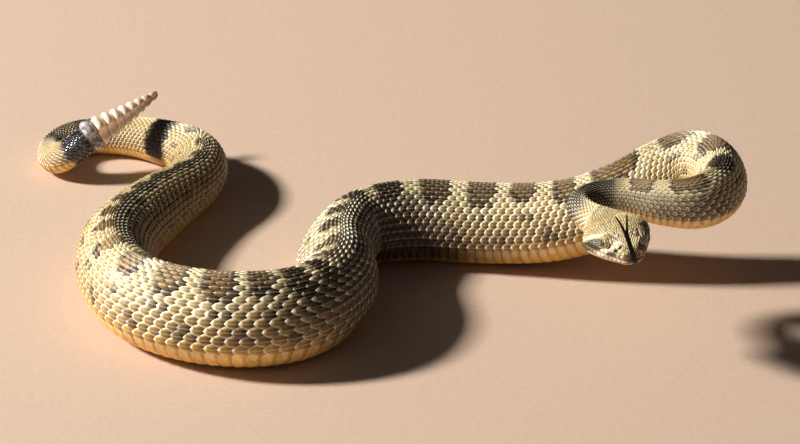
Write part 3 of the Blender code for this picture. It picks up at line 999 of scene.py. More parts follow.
def body_colour(board, given, cloud):
    """Ground, blotches and belly; each scale goes from its free edge to its middle."""
    in_scale = [board.mix(given["Middle"], *paints) for paints in IN_SCALE_PAINTS]
    back, flank, blotch, edge, belly, shaded_belly = in_scale
    ground = board.mix(given["Flank"], back, flank)
    ground = board.mix(board.times(board.step(cloud, 0.4, 0.8), 0.35), ground, CLOUD_PAINT)
    # pale borders, with painted light on sunward flanks, on the loop and on the ridge's tips
    ground = board.mix(board.times(given["Pale"], 0.4), ground, PALE_PAINT)
    colour = board.mix(given["Blotch"], ground, board.mix(given["Edge"], blotch, edge))
    mottle = board.times(board.step(board.noise(260, 3), 0.52, 0.68), 0.4)
    # in the folds and on the loop the belly takes painted shade
    under = board.mix(given["Edge"], board.mix(mottle, belly, MOTTLE_PAINT), shaded_belly)
    return board.mix(given["Belly"], colour, under)


def face_colour(board, given, cloud, colour):
    """Lips with freckles, dark bars and cream bars."""
    freckles = board.times(board.step(board.noise(700, 2), 0.52, 0.64), 0.6)
    colour = board.mix(given["Lips"], colour, board.mix(freckles, *LIP_PAINTS))
    colour = board.mix(given["Dark"], colour, board.mix(board.step(cloud, 0.3, 0.7), *FACE_BAR_AND_SHADE_PAINTS))
    return board.mix(given["Cream"], colour, CREAM_PAINT)


def markings_group():
    """Masks in, colour out."""
    tree = bpy.data.node_groups.new("snake markings", "ShaderNodeTree")
    for name in MASK_NAMES:
        tree.interface.new_socket(name, in_out="INPUT", socket_type="NodeSocketFloat")
    tree.interface.new_socket("Color", in_out="OUTPUT", socket_type="NodeSocketColor")
    board = Board(tree)
    given = board.add("NodeGroupInput").outputs
    cloud = board.noise(55, 4)
    colour = face_colour(board, given, cloud, body_colour(board, given, cloud))
    # random tone, painted light and painted shade make the colour lighter or darker
    light = board.plus(0.89, board.times(given["Tint"], 0.28))
    grey = board.add("ShaderNodeCombineColor")
    for socket in grey.inputs[:3]:
        board.feed(socket, light)
    colour = board.mix(1.0, colour, grey.outputs[0], "MULTIPLY")
    # cream tips and rims where the pale mask lies, which is partly painted light
    tips = board.times(given["Pale"], board.math("MAXIMUM", given["Tip"], given["Rim"]))
    colour = board.mix(tips, colour, TIP_PAINT)
    rim = board.times(given["Rim"], board.rest(board.times(given["Blotch"], 0.5)))
    colour = board.mix(rim, colour, board.mix(given["Flank"], *RIM_PAINTS))
    colour = board.mix(given["Black"], colour, BLACK_PAINT)
    glint = board.math("MAXIMUM", given["Rim"], board.times(given["Tip"], 0.6))
    on_cap = board.plus(0.35, board.times(board.step(given["Black"], *BLACK_CAP), 0.60))
    glint = board.times(given["Black"], glint, board.step(board.noise(420, 2), 0.44, 0.60), on_cap)
    colour = board.mix(glint, colour, GLINT_PAINT)
    board.feed(board.add("NodeGroupOutput").inputs["Color"], colour)
    return tree


MARKINGS = markings_group()
print("group", MARKINGS.name, "takes", len(MASK_NAMES), "masks")

# %% The skin between the scales
def place_markings(board):
    """The markings group fed with the masks of the mesh, and those masks by name."""
    group = board.add("ShaderNodeGroup", node_tree=MARKINGS)
    found = [*board.masks("back_marks"), *board.masks("dark_marks"), *board.masks("zones")]
    marks = dict(zip(MASK_NAMES, found))
    for name, mask in marks.items():
        board.feed(group.inputs[name], mask)
    return group, marks


def skin_material():
    """Thin skin: a net, darker on the back, that takes the colour of dark marks."""
    material, board, shader = new_material("thin skin", 0.6)
    group, marks = place_markings(board)
    for name, value in (("Middle", 0.2), ("Rim", 0.0), ("Tip", 0.3), ("Tint", 0.5)):
        group.inputs[name].default_value = value
    net = board.mix(board.step(marks["Flank"], 0.05, 0.5), *NET_PAINTS)
    marked = board.math("MAXIMUM", marks["Black"], board.times(marks["Blotch"], 0.8))
    plain = board.times(board.rest(marked), 0.7)
    board.feed(shader.inputs["Base Color"], board.mix(plain, group.outputs["Color"], net))
    board.feed(shader.inputs["Normal"], board.bump(board.noise(2200, 2), 0.25, 0.0002))
    return material


SKIN_FINISH = skin_material()
print("material:", SKIN_FINISH.name)

# %% The scales
def scale_middle(board, flank, along, border):
    """The darker middle of a scale, which reaches further at its root."""
    low = board.plus(0.25, board.times(flank, 0.35))
    high = board.plus(0.72, board.times(flank, 0.16))
    inward = board.minus(border, board.times(board.step(along, -0.1, 0.5), 0.3))
    return board.rest(board.step(inward, low, high))


def scale_tip(board, edge, beside, border):
    """The pale tip, narrower on dark scales."""
    tip = board.step(board.minus(border, board.minus(0.60, board.times(edge, 0.20))), 0.0, 0.22)
    return board.times(tip, board.rest(board.times(edge, board.step(beside, 0.30, 0.55), 0.85)))


def painted_scale_shade(board, marks, along, streak, wall):
    """Painted shade at the root, where the next scale overlaps, and on the outer wall, with the dark streaks
    beside the keel, partly pigment and partly painted shade.
    """
    root_shade = board.plus(board.minus(1.4, board.times(marks["Flank"], 0.4)), marks["Blotch"])
    shade = board.plus(board.times(board.step(along, -0.10, 0.50), root_shade), streak)
    return board.plus(shade, board.times(wall, 1.5))


def scale_material():
    """Keeled scales; across, along and border are places in a scale, from -1 to 1 or from 0 to 1."""
    material, board, shader = new_material("keeled scales", 0.45, coat_roughness=0.18)
    group, marks = place_markings(board)
    across, along, border = board.masks("scale_place")
    tone_and_light, keel, rim = board.masks("scale_nature")
    beside = board.math("ABSOLUTE", across)
    middle = scale_middle(board, marks["Flank"], along, border)
    streak = board.times(board.step(beside, 0.08, 0.20), board.step(beside, 0.62, 0.34), middle, keel)
    tipward = board.step(along, 0.1, -0.7)
    # the outer wall under the free edge, which gets painted shade
    wall = board.step(border, 1.05, 1.30)
    top = board.rest(wall)
    edge_line = board.times(board.step(border, 0.86, 0.93), top)
    board.feed(group.inputs["Middle"], middle)
    # the pale free edge, strongest towards the tip: the scale's own edge with some painted sheen
    board.feed(group.inputs["Rim"], board.times(edge_line, rim, board.plus(0.15, board.times(tipward, 0.85))))
    tip = scale_tip(board, marks["Edge"], beside, border)
    board.feed(group.inputs["Tip"], board.times(tip, tipward, top))
    board.feed(group.inputs["Tint"], board.minus(tone_and_light, painted_scale_shade(board, marks, along, streak, wall)))
    crest = board.rest(board.step(beside, 0.05, 0.15))
    pale_keel = board.times(crest, keel, board.minus(0.30, board.times(marks["Black"], 0.28)))
    board.feed(shader.inputs["Base Color"], board.mix(pale_keel, group.outputs["Color"], KEEL_PAINT))
    cap = board.step(marks["Black"], *BLACK_CAP)
    board.feed(shader.inputs["Roughness"], board.minus(0.45, board.times(cap, 0.20)))
    board.feed(shader.inputs["Coat Weight"], cap)
    grain = board.plus(board.noise(900, 3), board.times(board.noise(3500, 2), 0.5))
    board.feed(shader.inputs["Normal"], board.bump(grain, 0.2, 0.0003))
    return material


SCALE_FINISH = scale_material()
print("material:", SCALE_FINISH.name)

# %% [markdown]
# ## The skin
# A flat grid is rolled into a tube and wrapped on the surface, with finer rings on the head. It
# lies under the scales, from the root of the rattle to the tip of the snout, with no seam, and
# stands for all the solids of flesh.

# %% Roll the skin
SKIN_SIDES, BODY_RINGS, HEAD_RINGS = 160, 270, 110
FLESH = ["head", "lower_jaw", "neck", "tail_1", "tail_2", "tail_end"] + [f"trunk_{n}" for n in range(1, 9)]


def make_skin():
    """The closed tube from the rattle's root to the snout."""
    bm, across, share = rolled_grid(SKIN_SIDES, BODY_RINGS + HEAD_RINGS)
    split = BODY_RINGS / (BODY_RINGS + HEAD_RINGS)
    along = np.interp(share, (0, split, 1), (TAIL_START, NECK_END - 4 * MM, SNOUT_END))
    turn = (across - 0.5) * math.tau
    move_corners(bm, wrap(along, turn, -coat_depth(along) - SAFE_INSET))
    carry(bm, "along", along)
    carry(bm, "turn", turn)
    close_tube(bm)
    made = finished("skin", mesh_from("skin", bm), SKIN_FINISH, FLESH, 60)
    along, turn = carried(made.data, "along"), carried(made.data, "turn")
    nothing = np.zeros((len(along), 3))
    write_marks(made.data, along, turn, nothing, nothing)
    return made


print("skin:", len(make_skin().data.polygons), "faces")

# %% [markdown]
# ## One scale
# A keeled scale is a thin oval plate with a raised line down its middle. Its root is tucked in and
# its tip, towards the tail, stands a little proud. It starts as a square grid that is rounded into
# a disc, then gets a rim and a floor, so that it is a closed solid of a few dozen faces.

# %% Model the plates
PLATE_RINGS, PLATE_REACH = (0, 1 / 3, 2 / 3, 1), (0, 0.44, 0.86, 1)
PLATE_BEVEL = 0.22
PLATE_FOOT = -0.75                                    # depth of a plate's foot, in plate units
# the foot's wall is where a scale gets painted shade
WALL_BORDER = 2.0                                     # nearness to the rim, written on the foot
KEEL_HALF = 0.30


def plate(columns, rows, tip_power, root_power, keel=0.0, dome=0.34, lift=0.75):
    """A thin closed plate two units long, root at +y, tip at -y; a power near 1 makes an end pointed."""
    bm = bmesh.new()
    bmesh.ops.create_grid(bm, x_segments=columns, y_segments=rows, size=1)
    flat = corners(bm)
    x, y = flat[:, 0], flat[:, 1]
    ring = np.maximum(np.abs(x), np.abs(y))
    wide, long = x * np.sqrt(1 - y * y / 2), y * np.sqrt(1 - x * x / 2)
    angle = np.arctan2(long, wide)
    power = np.where(y < 0, tip_power, root_power)
    outline = (np.abs(np.cos(angle)) ** power + np.abs(np.sin(angle)) ** power) ** (-1 / power)
    reach = np.interp(ring, PLATE_RINGS, PLATE_REACH)
    outline *= reach / np.maximum(ring, 1e-6)
    wide, long, ring = wide * outline, long * outline, reach
    crest = keel * np.clip(1 - np.abs(wide) / KEEL_HALF, 0, 1) * np.clip(1.1 - ring ** 3, 0, 1)
    high = dome * (1 - ring ** 2) + crest + lift * (1 - long) / 2 - PLATE_BEVEL * (ring > 0.99)
    move_corners(bm, np.stack([wide, long, high], -1))
    carry(bm, "border", ring)
    foot = extruded_rim(bm)
    border = bm.verts.layers.float["border"]
    for vertex in foot:
        vertex.co.z = PLATE_FOOT
        vertex[border] = WALL_BORDER
    bmesh.ops.scale(bm, verts=foot, vec=(0.98, 0.98, 1))
    close_holes(bm)
    return mesh_from("plate", bm)


KEELED = plate(6, 6, 1.30, 1.8, keel=0.34, lift=0.90)
SMOOTH = plate(6, 6, 1.9, 2.2, dome=0.45)
SQUARE = plate(6, 6, 4.0, 4.0, dome=0.40, lift=0.25)
BELLY = plate(18, 4, 14.0, 14.0, dome=0.05, lift=0.75)
print("faces in a keeled scale:", len(KEELED.polygons))

# %% [markdown]
# ## Lay the plates
# An array modifier makes as many copies of a plate as there are places for it. Then every copy is
# sent to its place on the body. Its corners follow the curve of the flank, so no scale sticks out
# stiffly on a tight bend. Each scale takes the marks of its root, which gives the blotches their
# stepped edges.

# %% Copies and places
def copies_of(mesh, count):
    """One mesh that holds many copies of another, in order."""
    carrier = placed("carrier", mesh)
    array = carrier.modifiers.new("copies", "ARRAY")
    array.count = count
    array.use_relative_offset = False
    array.use_constant_offset = True
    array.constant_offset_displace = (3, 0, 0)
    depsgraph = bpy.context.evaluated_depsgraph_get()
    joined = bpy.data.meshes.new_from_object(carrier.evaluated_get(depsgraph))
    bpy.data.objects.remove(carrier)
    return joined


SCALE_PATCH, MAP_MARGIN = 0.0015, 0.02                # shares of the bake map


def write_bake_map(mesh, root_u, root_v, x, y):
    """Each scale is a small patch at its root's place on the unrolled skin."""
    uv = np.stack([root_u + SCALE_PATCH * y, root_v + SCALE_PATCH * x], -1)
    loops = np.zeros(len(mesh.loops), np.int32)
    mesh.loops.foreach_get("vertex_index", loops)
    layer = mesh.uv_layers.new(name="OFBake")
    layer.data.foreach_set("uv", uv[loops].astype(np.float32).ravel())


def map_share(value, low, high):
    """A place between two ends, kept a little off the map's border."""
    return MAP_MARGIN + (1 - 2 * MAP_MARGIN) * (value - low) / (high - low)


print("each scale's patch covers", SCALE_PATCH, "of the map either way")

# %% Lay one kind of plate
def lay(name, shape, sites, thick=1.0, keel=0.0, rim=1.0, own_marks=False, spread=1.0):
    """Wrap one plate on each site: distance along, turn, half length, half breadth in turn."""
    sites = np.asarray(sites, float)
    count, size = len(sites), len(shape.vertices)
    mesh = copies_of(shape, count)
    x, y, z = np.tile([vertex.co[:] for vertex in shape.vertices], (count, 1)).T
    border = np.tile(carried(shape, "border"), count)
    at, root_turn, half_length, half_turn = (np.repeat(column, size) for column in sites.T)
    along = np.clip(at + y * half_length, TAIL_START + 0.1 * MM, SNOUT_END - 0.05 * MM)
    turn = root_turn + x * half_turn
    lift = coat_depth(at) * (0.9 * thick * z - 1) - SAFE_INSET
    mesh.vertices.foreach_set("co", wrap(along, turn, lift).astype(np.float32).ravel())
    # random tone for each scale, plus painted light where the flank faces the lamp
    tone_and_light = 0.5 + np.repeat(spread * chance.uniform(-0.5, 0.5, count), size) + painted_sunlight(at, root_turn)
    marked = (along, turn) if own_marks else (at, root_turn)
    write_marks(mesh, *marked, np.stack([x, y, border], -1),
                np.stack([tone_and_light, np.full_like(tone_and_light, keel), np.full_like(tone_and_light, rim)], -1))
    low, high = sites[:, 0].min() - 2 * MM, sites[:, 0].max() + 2 * MM
    write_bake_map(mesh, map_share(at, low, high), map_share(root_turn % math.tau, 0, math.tau), x, y)
    mesh.attributes.remove(mesh.attributes["border"])
    piece = finished(name, mesh, SCALE_FINISH)
    print(name, count, "plates", len(mesh.polygons), "faces")
    return piece


print("a place is four numbers: along, turn, half length, half breadth")

# %% Rows of the back and flanks
def back_sites(first, last):
    """Places of the keeled scales between two counts along the body."""
    sites = []
    for row, (turn, half) in enumerate(zip(ROW_TURN, ROW_HALF)):
        low = abs(row - BACK_ROWS // 2) / (BACK_ROWS // 2)
        at = nth_place(np.arange(first, last) + 0.5 * (row % 2))
        length = pitch(at) * (0.66 - 0.08 * low)
        breadth = np.full_like(at, half * (1.28 + 0.12 * low))
        sites.append(np.stack([at, np.full_like(at, turn), length, breadth], -1))
    return np.concatenate(sites)


FIRST_COUNT = math.ceil(np.interp(TAIL_START + 1 * MM, DISTANCE, COUNT_ALONG))
LAST_COUNT = math.floor(np.interp(NECK_END - 1 * MM, DISTANCE, COUNT_ALONG))
COAT_STRETCHES = 5                                    # pieces, so that none has too many triangles
stretch_ends = np.linspace(FIRST_COUNT, LAST_COUNT, COAT_STRETCHES + 1).round().astype(int)
for number, (first, last) in enumerate(zip(stretch_ends, stretch_ends[1:])):
    lay(f"back_scales_{number + 1}", KEELED, back_sites(first, last), keel=1.0)

# %% Belly plates
def belly_sites():
    """One broad plate for each pitch."""
    at = nth_place(np.arange(FIRST_COUNT + 1, LAST_COUNT + 1))
    return np.stack([at, np.full_like(at, math.pi), 0.62 * pitch(at),
                     np.full_like(at, math.pi - ROW_EDGE + 0.03)], -1)


lay("belly_plates", BELLY, belly_sites(), rim=0.2, own_marks=True)

# %% [markdown]
# ## Scales of the head
# The crown carries hundreds of small scales that get finer towards the snout. Along the lips lies
# one neat row of larger smooth plates on each side, above and below the mouth. The throat has
# flat scales. The eyes, pits and nostrils stay clear.

# %% Room on the head
# room left round each feature and along the lips, in millimetres
EYE_ROOM, PIT_ROOM, NOSTRIL_ROOM, LIP_ROOM = 3.1, 1.35, 0.95, 2.9


def ring_measure(along, samples=361):
    """Turns round the head's ring with the distance travelled to each."""
    turn = np.linspace(-math.pi, math.pi, samples)
    ring = plain_surface(np.full(samples, along), turn)
    return turn, travelled(ring)


def clear_of_features(along, turn):
    """True where no eye, pit, nostril or lip needs the room."""
    back, left, height = head_profile(along, turn)
    back, out, height = back / MM, np.abs(left) / MM, height / MM
    eye = np.hypot(back - EYE_PLACE[0], height - EYE_PLACE[2]) > EYE_ROOM
    pit = np.hypot(back - RELIEF[2][0], height - RELIEF[2][1]) > PIT_ROOM
    nostril = np.hypot(back - RELIEF[0][0], height - RELIEF[0][1]) > NOSTRIL_ROOM
    lip = (np.abs(height) > LIP_ROOM) | (back * MM > MOUTH_CORNER + 1 * MM)
    return (eye & pit & nostril | (out < 3)) & (lip | (out < 0.2))


def stretch(along, turn):
    """Surface distance for each unit travelled along the spine."""
    step = 0.1 * MM
    ends = plain_surface(along + step, turn) - plain_surface(along - step, turn)
    return np.linalg.norm(ends, axis=-1) / (2 * step)


round_head = ring_measure(NECK_END + HEAD_LENGTH - EYE_PLACE[0] * MM)[1][-1]
print(f"the head is {round_head / MM:.0f} mm round at the eyes")

# %% Crown and throat
def head_sites(above):
    """Places for the crown's scales, or for the throat's, in staggered rows."""
    unevenness = np.random.default_rng(5)
    sites, along, odd = [], NECK_END - 3.5 * MM, 0
    while along < SNOUT_END - 1.2 * MM:
        share = np.clip((along - NECK_END) / HEAD_LENGTH, 0, 1)
        step = (1.65 - 0.50 * share) * MM
        turn, reach = ring_measure(along)
        breadth = (1.45 - 0.35 * share) * MM * (1.0 if above else 1.5)
        count = max(4, int(reach[-1] / breadth))
        middle = np.interp((np.arange(count) + 0.5 * odd) * reach[-1] / count, reach, turn)
        half = np.interp(np.interp(middle, turn, reach) + breadth * 0.70, reach, turn) - middle
        here = np.full(count, along)
        height = head_profile(here, middle)[2]
        wanted = (height > 0) if above else (height <= 0)
        wanted &= clear_of_features(here, middle) & (np.abs(middle) < math.pi - 0.05)
        long = np.minimum(step * 0.95 / np.maximum(stretch(here, middle), 0.5), 1.6 * MM)
        uneven = unevenness.uniform(-1, 1, (3, count))
        here = here + 0.16 * step * uneven[0]
        middle = middle + 0.12 * half * uneven[1]
        sites.append(np.stack([here, middle, long * (1 + 0.12 * uneven[2]), half], -1)[wanted])
        along += step / max(1.0, np.quantile(stretch(here, middle), 0.8))
        odd = 1 - odd
    return np.concatenate(sites)


lay("crown_scales", KEELED, head_sites(True), keel=0.8, rim=0.5, own_marks=True, spread=1.7)
lay("throat_scales", SMOOTH, head_sites(False), thick=0.8, rim=0.4, own_marks=True)

# %% Lip plates
def turn_at_height(along, height):
    """The turn on the right side at which the head's surface has this height."""
    turn = np.linspace(0.02, math.pi - 0.02, 400)
    heights = head_profile(np.full(400, along), turn)[2]
    return float(np.interp(-height, -heights, turn))


def lip_sites(low, high):
    """Plates between two heights over the mouth, from the snout to the mouth's corner."""
    sites = []
    for side in (-1, 1):
        back = 0.4 * MM
        while back < MOUTH_CORNER:
            length = (1.15 + 0.25 * back / MOUTH_CORNER) * MM
            along = NECK_END + HEAD_LENGTH - back - length
            top, bottom = turn_at_height(along, high), turn_at_height(along, low)
            sites.append((along, side * (top + bottom) / 2, length * 0.98, (bottom - top) / 2))
            back += 2 * length
    return sites


lay("upper_lip_plates", SQUARE, lip_sites(0.45 * MM, 3.0 * MM), rim=0.3, own_marks=True)
lay("lower_lip_plates", SQUARE, lip_sites(-2.8 * MM, -0.45 * MM), rim=0.3, own_marks=True)

# %% [markdown]
# ## Eyes, brows and lids
# The eye is a wet ball with an olive iris and an upright slit. A long brow plate juts out over
# it, which gives the snake its stern look, and a ring of tiny scales holds the ball.

# %% Eye material
def eye_material():
    """Iris and slit from the eye's own attribute: across, up and depth, in eye radii."""
    material, board, shader = new_material("wet eye", 0.08, coat=1.0, coat_roughness=0.03)
    across, up, _ = board.masks("eye_place")
    narrow = board.times(across, board.plus(5.2, board.times(up, up, 9.0)))
    slit = board.rest(board.step(board.math("ABSOLUTE", narrow), 0.75, 1.15))
    from_middle = board.math("SQRT", board.plus(board.times(across, across), board.times(up, up)))
    iris = board.mix(board.step(board.noise(2600, 4), 0.35, 0.7), paint(112, 98, 48), paint(176, 158, 92))
    iris = board.mix(board.step(from_middle, 0.62, 0.86), iris, paint(40, 34, 22))
    board.feed(shader.inputs["Base Color"], board.mix(slit, iris, paint(8, 7, 6)))
    return material


EYE_FINISH = eye_material()
print("material:", EYE_FINISH.name)

# %% Eyes and lid rings
FACE_ROOT = NECK_END + HEAD_LENGTH - 14 * MM          # where lids and brows take their colour
LID_BEAD, LID_REACH, LID_LIFT = 0.42 * MM, 2.25 * MM, 1.15 * MM


def eye_axes(side):
    """Centre of an eye and its outward, forward and up directions; side is +1 on the left."""
    back, out, high = EYE_PLACE
    centre = head_place(back * MM, side * out * MM, high * MM)
    look = unit(LEFT * side * 0.93 + FORWARD * 0.30 + UP * 0.16)
    ahead = unit(FORWARD - look * (FORWARD @ look))
    upward = np.cross(look, ahead)
    return centre, look, ahead, upward * (1 if upward @ UP > 0 else -1)


def make_eye(side, name):
    """A ball that remembers where each corner lies on it."""
    bm = bmesh.new()
    bmesh.ops.create_uvsphere(bm, u_segments=32, v_segments=20, radius=1)
    on_ball = corners(bm)
    centre, look, ahead, up = eye_axes(side)
    ball = on_ball[:, :1] * ahead + on_ball[:, 1:2] * up + on_ball[:, 2:] * look
    move_corners(bm, centre + EYE_RADIUS * 0.985 * ball)
    bmesh.ops.recalc_face_normals(bm, faces=bm.faces)
    eye = finished(name + "_ball", mesh_from(name, bm), EYE_FINISH, [name], 80)
    write_vectors(eye.data, "eye_place", on_ball)


def make_lid(side, name):
    """A beaded ring round the eye."""
    bm, across, share = rolled_grid(10, 72)
    centre, look, ahead, up = eye_axes(side)
    round_eye, tube = share * math.tau, across * math.tau
    bead = LID_BEAD * (0.78 + 0.30 * np.abs(np.cos(round_eye * 7)))
    reach = LID_REACH + bead * np.cos(tube) * 1.25
    ring = ahead * np.cos(round_eye)[:, None] + up * np.sin(round_eye)[:, None] * 0.92
    move_corners(bm, centre + look * (LID_LIFT + bead * np.sin(tube) * 0.9)[:, None] + ring * reach[:, None])
    close_tube(bm)
    lid = finished(f"lid_ring_{name}", mesh_from(name, bm), SCALE_FINISH, (), 60)
    count = len(lid.data.vertices)
    write_marks(lid.data, np.full(count, FACE_ROOT), np.full(count, 0.70),
                np.tile((0, 0, 0.4), (count, 1)), np.tile((0.2, 0, 0), (count, 1)))


for side, name in ((1, "eye_left"), (-1, "eye_right")):
    make_eye(side, name)
    make_lid(side, name)
print("the left eye is at", [round(v, 4) for v in eye_axes(1)[0]])

# %% Brow plates
BROW_BACK, BROW_TURN = 12.4 * MM, math.radians(43)
BROW_HALF_LENGTH, BROW_HALF_TURN, BROW_JUT = 3.7 * MM, math.radians(9.5), 0.95 * MM


def make_brow(side, name):
    """A long plate that follows the crown and juts out over the eye."""
    bm = bmesh.new()
    bmesh.ops.create_grid(bm, x_segments=10, y_segments=16, size=1)
    x, y = corners(bm)[:, :2].T
    ring = np.maximum(np.abs(x), np.abs(y))
    wide, long = x * (1 - 0.45 * y ** 4), y * (1 - 0.14 * x * x)
    along = NECK_END + HEAD_LENGTH - BROW_BACK - long * BROW_HALF_LENGTH
    turn = -side * (BROW_TURN + BROW_HALF_TURN * wide - 0.10 * long)
    jut = BROW_JUT * rounded_step(wide, -0.6, 1.0) * (1 - long ** 2)
    top = wrap(along, turn, (0.10 + 0.30 * (1 - ring ** 2)) * MM)
    move_corners(bm, top + (LEFT * side * 0.9 + UP * 0.15) * jut[:, None])
    carry(bm, "border", ring)
    bmesh.ops.translate(bm, verts=extruded_rim(bm), vec=Vector((-UP * 0.8 - LEFT * side * 0.5) * MM))
    close_holes(bm)
    brow = finished(f"brow_{name}", mesh_from(name, bm), SCALE_FINISH, (), 60)
    border = carried(brow.data, "border")
    count = len(border)
    write_marks(brow.data, np.full(count, FACE_ROOT), np.full(count, 0.3),
                np.stack([border * 0, border * 0, border * 0.55], -1), np.tile((0.30, 0, 0.6), (count, 1)))


for side, name in ((1, "left"), (-1, "right")):
    make_brow(side, name)
print("brows over both eyes")

# %% [markdown]
# ## The tongue
# A snake flicks out a forked black tongue to taste the air. Here it curls up in front of the
# snout. Two tapering strands run side by side and part near the tip, and a union makes them one.

# %% Tongue
# behind the snout, left, above the mouth, in millimetres
TONGUE_STEM = ((2.4, 0.3, 0.1), (0.1, 0.3, 0.2), (-2.5, 0.1, 0.3), (-4.8, -0.7, 2.6), (-6.0, -1.9, 7.5),
               (-6.4, -3.3, 13.5))
TONGUE_TINES = {
    "left": ((-6.3, -4.0, 19.5), (-6.0, -3.7, 24.5), (-5.4, -3.2, 29.0)),
    "right": ((-6.3, -5.2, 19.5), (-6.0, -7.0, 24.5), (-5.4, -9.2, 28.8)),
}
STRAND_SHIFT = 0.3 * MM                               # each strand's middle off the tongue's
STRAND_ROOT, STRAND_TAPER = 1.22 * MM, 0.86 * MM      # half breadth at the root, and how much is lost


def plain_material(name, colour, roughness, grain=900, contrast=1.8, shine=0.5):
    """One colour with a little cloud in it and a fine bump."""
    material, board, shader = new_material(name, roughness, shine=shine)
    lighter = tuple(min(1, value * contrast) for value in colour[:3]) + (1,)
    cloud = board.step(board.noise(grain, 3), 0.3, 0.8)
    board.feed(shader.inputs["Base Color"], board.mix(cloud, colour, lighter))
    board.feed(shader.inputs["Normal"], board.bump(board.noise(grain * 2, 2), 0.3, 0.0002))
    return material


print("plain materials have two tones and a fine bump")

# %% Two strands made one
def tongue_strand(name, shift):
    """One strand from the mouth to the tip of a tine, as a closed tube."""
    stops = np.array(TONGUE_STEM) * MM + np.array([0, shift, 0])
    stops = np.vstack([stops, np.array(TONGUE_TINES[name]) * MM])
    reach, path = evenly(smooth_line(head_place(*stops.T), 8), 0.2 * MM)
    bm, across, share = rolled_grid(16, 60)
    turn, at = across * math.tau, share * reach[-1]
    centre = np.stack([np.interp(at, reach, column) for column in path.T], -1)
    ahead = np.stack([np.interp(at, reach, column) for column in np.gradient(path, reach, axis=0).T], -1)
    sideways = unit(LEFT - ahead * ((ahead @ LEFT) / (ahead * ahead).sum(-1))[:, None])
    through = unit(np.cross(sideways, ahead))
    rounded_tip = np.sqrt(np.clip((1.0 - share) / 0.03, 0.02, 1))
    radius = (STRAND_ROOT - STRAND_TAPER * share ** 1.5) * rounded_tip
    ring = sideways * np.sin(turn)[:, None] + through * (0.7 * np.cos(turn))[:, None]
    move_corners(bm, centre + ring * radius[:, None])
    close_tube(bm)
    return mesh_from(f"strand_{name}", bm)


def make_tongue():
    """Two strands, made one."""
    black = plain_material("moist tongue", paint(6, 5, 6), 0.42, shine=0.2)
    tongue = finished("forked_tongue", tongue_strand("left", STRAND_SHIFT), black, ["tongue"], 70)
    twin = placed("twin", tongue_strand("right", -STRAND_SHIFT))
    join = tongue.modifiers.new("fork", "BOOLEAN")
    join.operation, join.solver, join.object = "UNION", "EXACT", twin
    depsgraph = bpy.context.evaluated_depsgraph_get()
    united = bpy.data.meshes.new_from_object(tongue.evaluated_get(depsgraph))
    tongue.modifiers.clear()
    tongue.data = united
    bpy.data.objects.remove(twin)
    return tongue


print("tongue:", len(make_tongue().data.polygons), "faces")

# %% [markdown]
# ## The rattle
# The rattle is a string of hollow horn rings, one for each moult. Every ring is a flattened oval
# with a groove down each side, a swollen lobe and a waist that the next ring grips. The ring at
# the root is the newest, grey and glossy. The small ones at the tip are old and worn.

# %% Horn
def horn_material():
    """Grey, glossy new horn at the root and warm old horn at the tip, brown in the waists."""
    material, board, shader = new_material("rattle horn", 0.22, coat=0.6)
    age, lobe, _ = board.masks("ring_place")
    streaks = board.noise(420, 4)
    young = board.mix(board.step(streaks, 0.35, 0.65), paint(124, 120, 130), paint(214, 208, 214))
    old = board.mix(board.step(streaks, 0.3, 0.7), paint(252, 212, 184), paint(255, 244, 232))
    colour = board.mix(board.step(age, 0.02, 0.14), young, old)
    colour = board.mix(board.times(board.step(age, 0.6, 1.0), 0.6), colour, paint(170, 132, 104))
    fresh = board.minus(0.85, board.times(board.step(age, 0.0, 0.25), 0.5))
    gap = board.times(board.rest(board.step(lobe, 0.0, 0.12)), fresh)
    board.feed(shader.inputs["Base Color"], board.mix(gap, colour, paint(110, 80, 62)))
    board.feed(shader.inputs["Normal"], board.bump(streaks, 0.35, 0.0006))
    return material


HORN_FINISH = horn_material()
print("material:", HORN_FINISH.name)

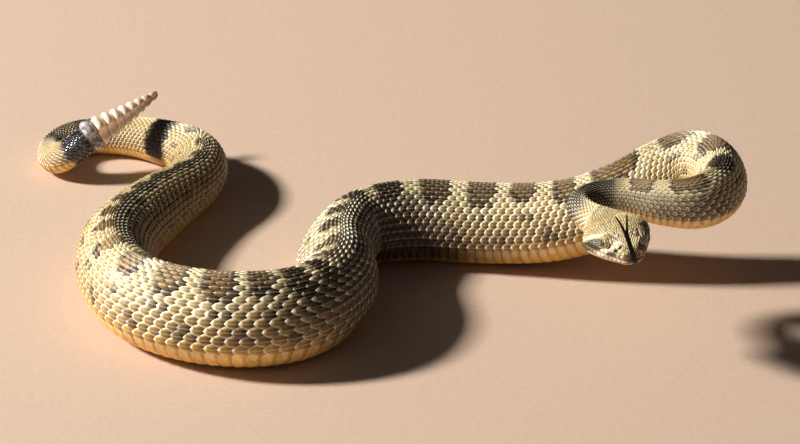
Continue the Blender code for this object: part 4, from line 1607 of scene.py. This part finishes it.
# %% Rings of horn
RATTLE_RINGS = 9
RATTLE_ROOT, RATTLE_TIP = 9.9 * MM, 2.0 * MM          # half height of the first ring and of the last
RATTLE_FLATNESS = 0.62
RING_OVERLAP = 0.15 * MM


def make_ring(number):
    """One ring of horn with its waists, lobes and grooves; number 0 is at the root."""
    root, tip = (TAIL_START * (1 - (step / RATTLE_RINGS) ** 0.90) for step in (number, number + 1))
    root, tip = root - RING_OVERLAP, tip + RING_OVERLAP
    bm, across, share = rolled_grid(40, 14)
    turn, along = across * math.tau, root + (tip - root) * share
    centre, _, right, up = spine_axes(along)
    half = RATTLE_ROOT + (RATTLE_TIP - RATTLE_ROOT) * (1 - along / TAIL_START) ** 1.2
    swell = np.sin(np.pi * share ** 0.8) ** 0.8
    half *= 0.72 + 0.31 * swell
    lobes = 1 + 0.20 * np.exp(-((np.abs(np.cos(turn)) - 0.56) / 0.28) ** 2)
    groove = lobes * (1 - (0.34 + 0.24 * swell) * np.exp(-(np.cos(turn) / 0.30) ** 2))
    side, rise = RATTLE_FLATNESS * half * np.sin(turn) * groove, half * np.cos(turn)
    move_corners(bm, centre + right * side[:, None] + up * rise[:, None])
    carry(bm, "lobe", np.minimum(share, 1 - share) * 2)
    close_tube(bm)
    name = f"horn_ring_{number + 1}"
    ring = finished(name, mesh_from(name, bm), HORN_FINISH, [f"rattle_{number + 1}"], 60)
    lobe = carried(ring.data, "lobe")
    age = np.full_like(lobe, number / (RATTLE_RINGS - 1))
    write_vectors(ring.data, "ring_place", np.stack([age, lobe, lobe * 0], -1))


for number in range(RATTLE_RINGS):
    make_ring(number)
print("rings of horn:", RATTLE_RINGS)

# %% [markdown]
# ## The floor
# A plain pale floor catches the soft shadow. It isn't part of the snake.

# %% Floor
def make_floor():
    """A square just under the snake."""
    bm = bmesh.new()
    bmesh.ops.create_grid(bm, x_segments=1, y_segments=1, size=6)
    bmesh.ops.translate(bm, verts=bm.verts, vec=(0, 0, -0.3 * MM))
    mesh = mesh_from("floor", bm)
    mesh.materials.append(plain_material("pale floor", paint(197, 172, 153), 0.9, 400, contrast=1.08))
    placed("floor", mesh)


make_floor()
print("floor laid")

# %% End
print("the scene is built")
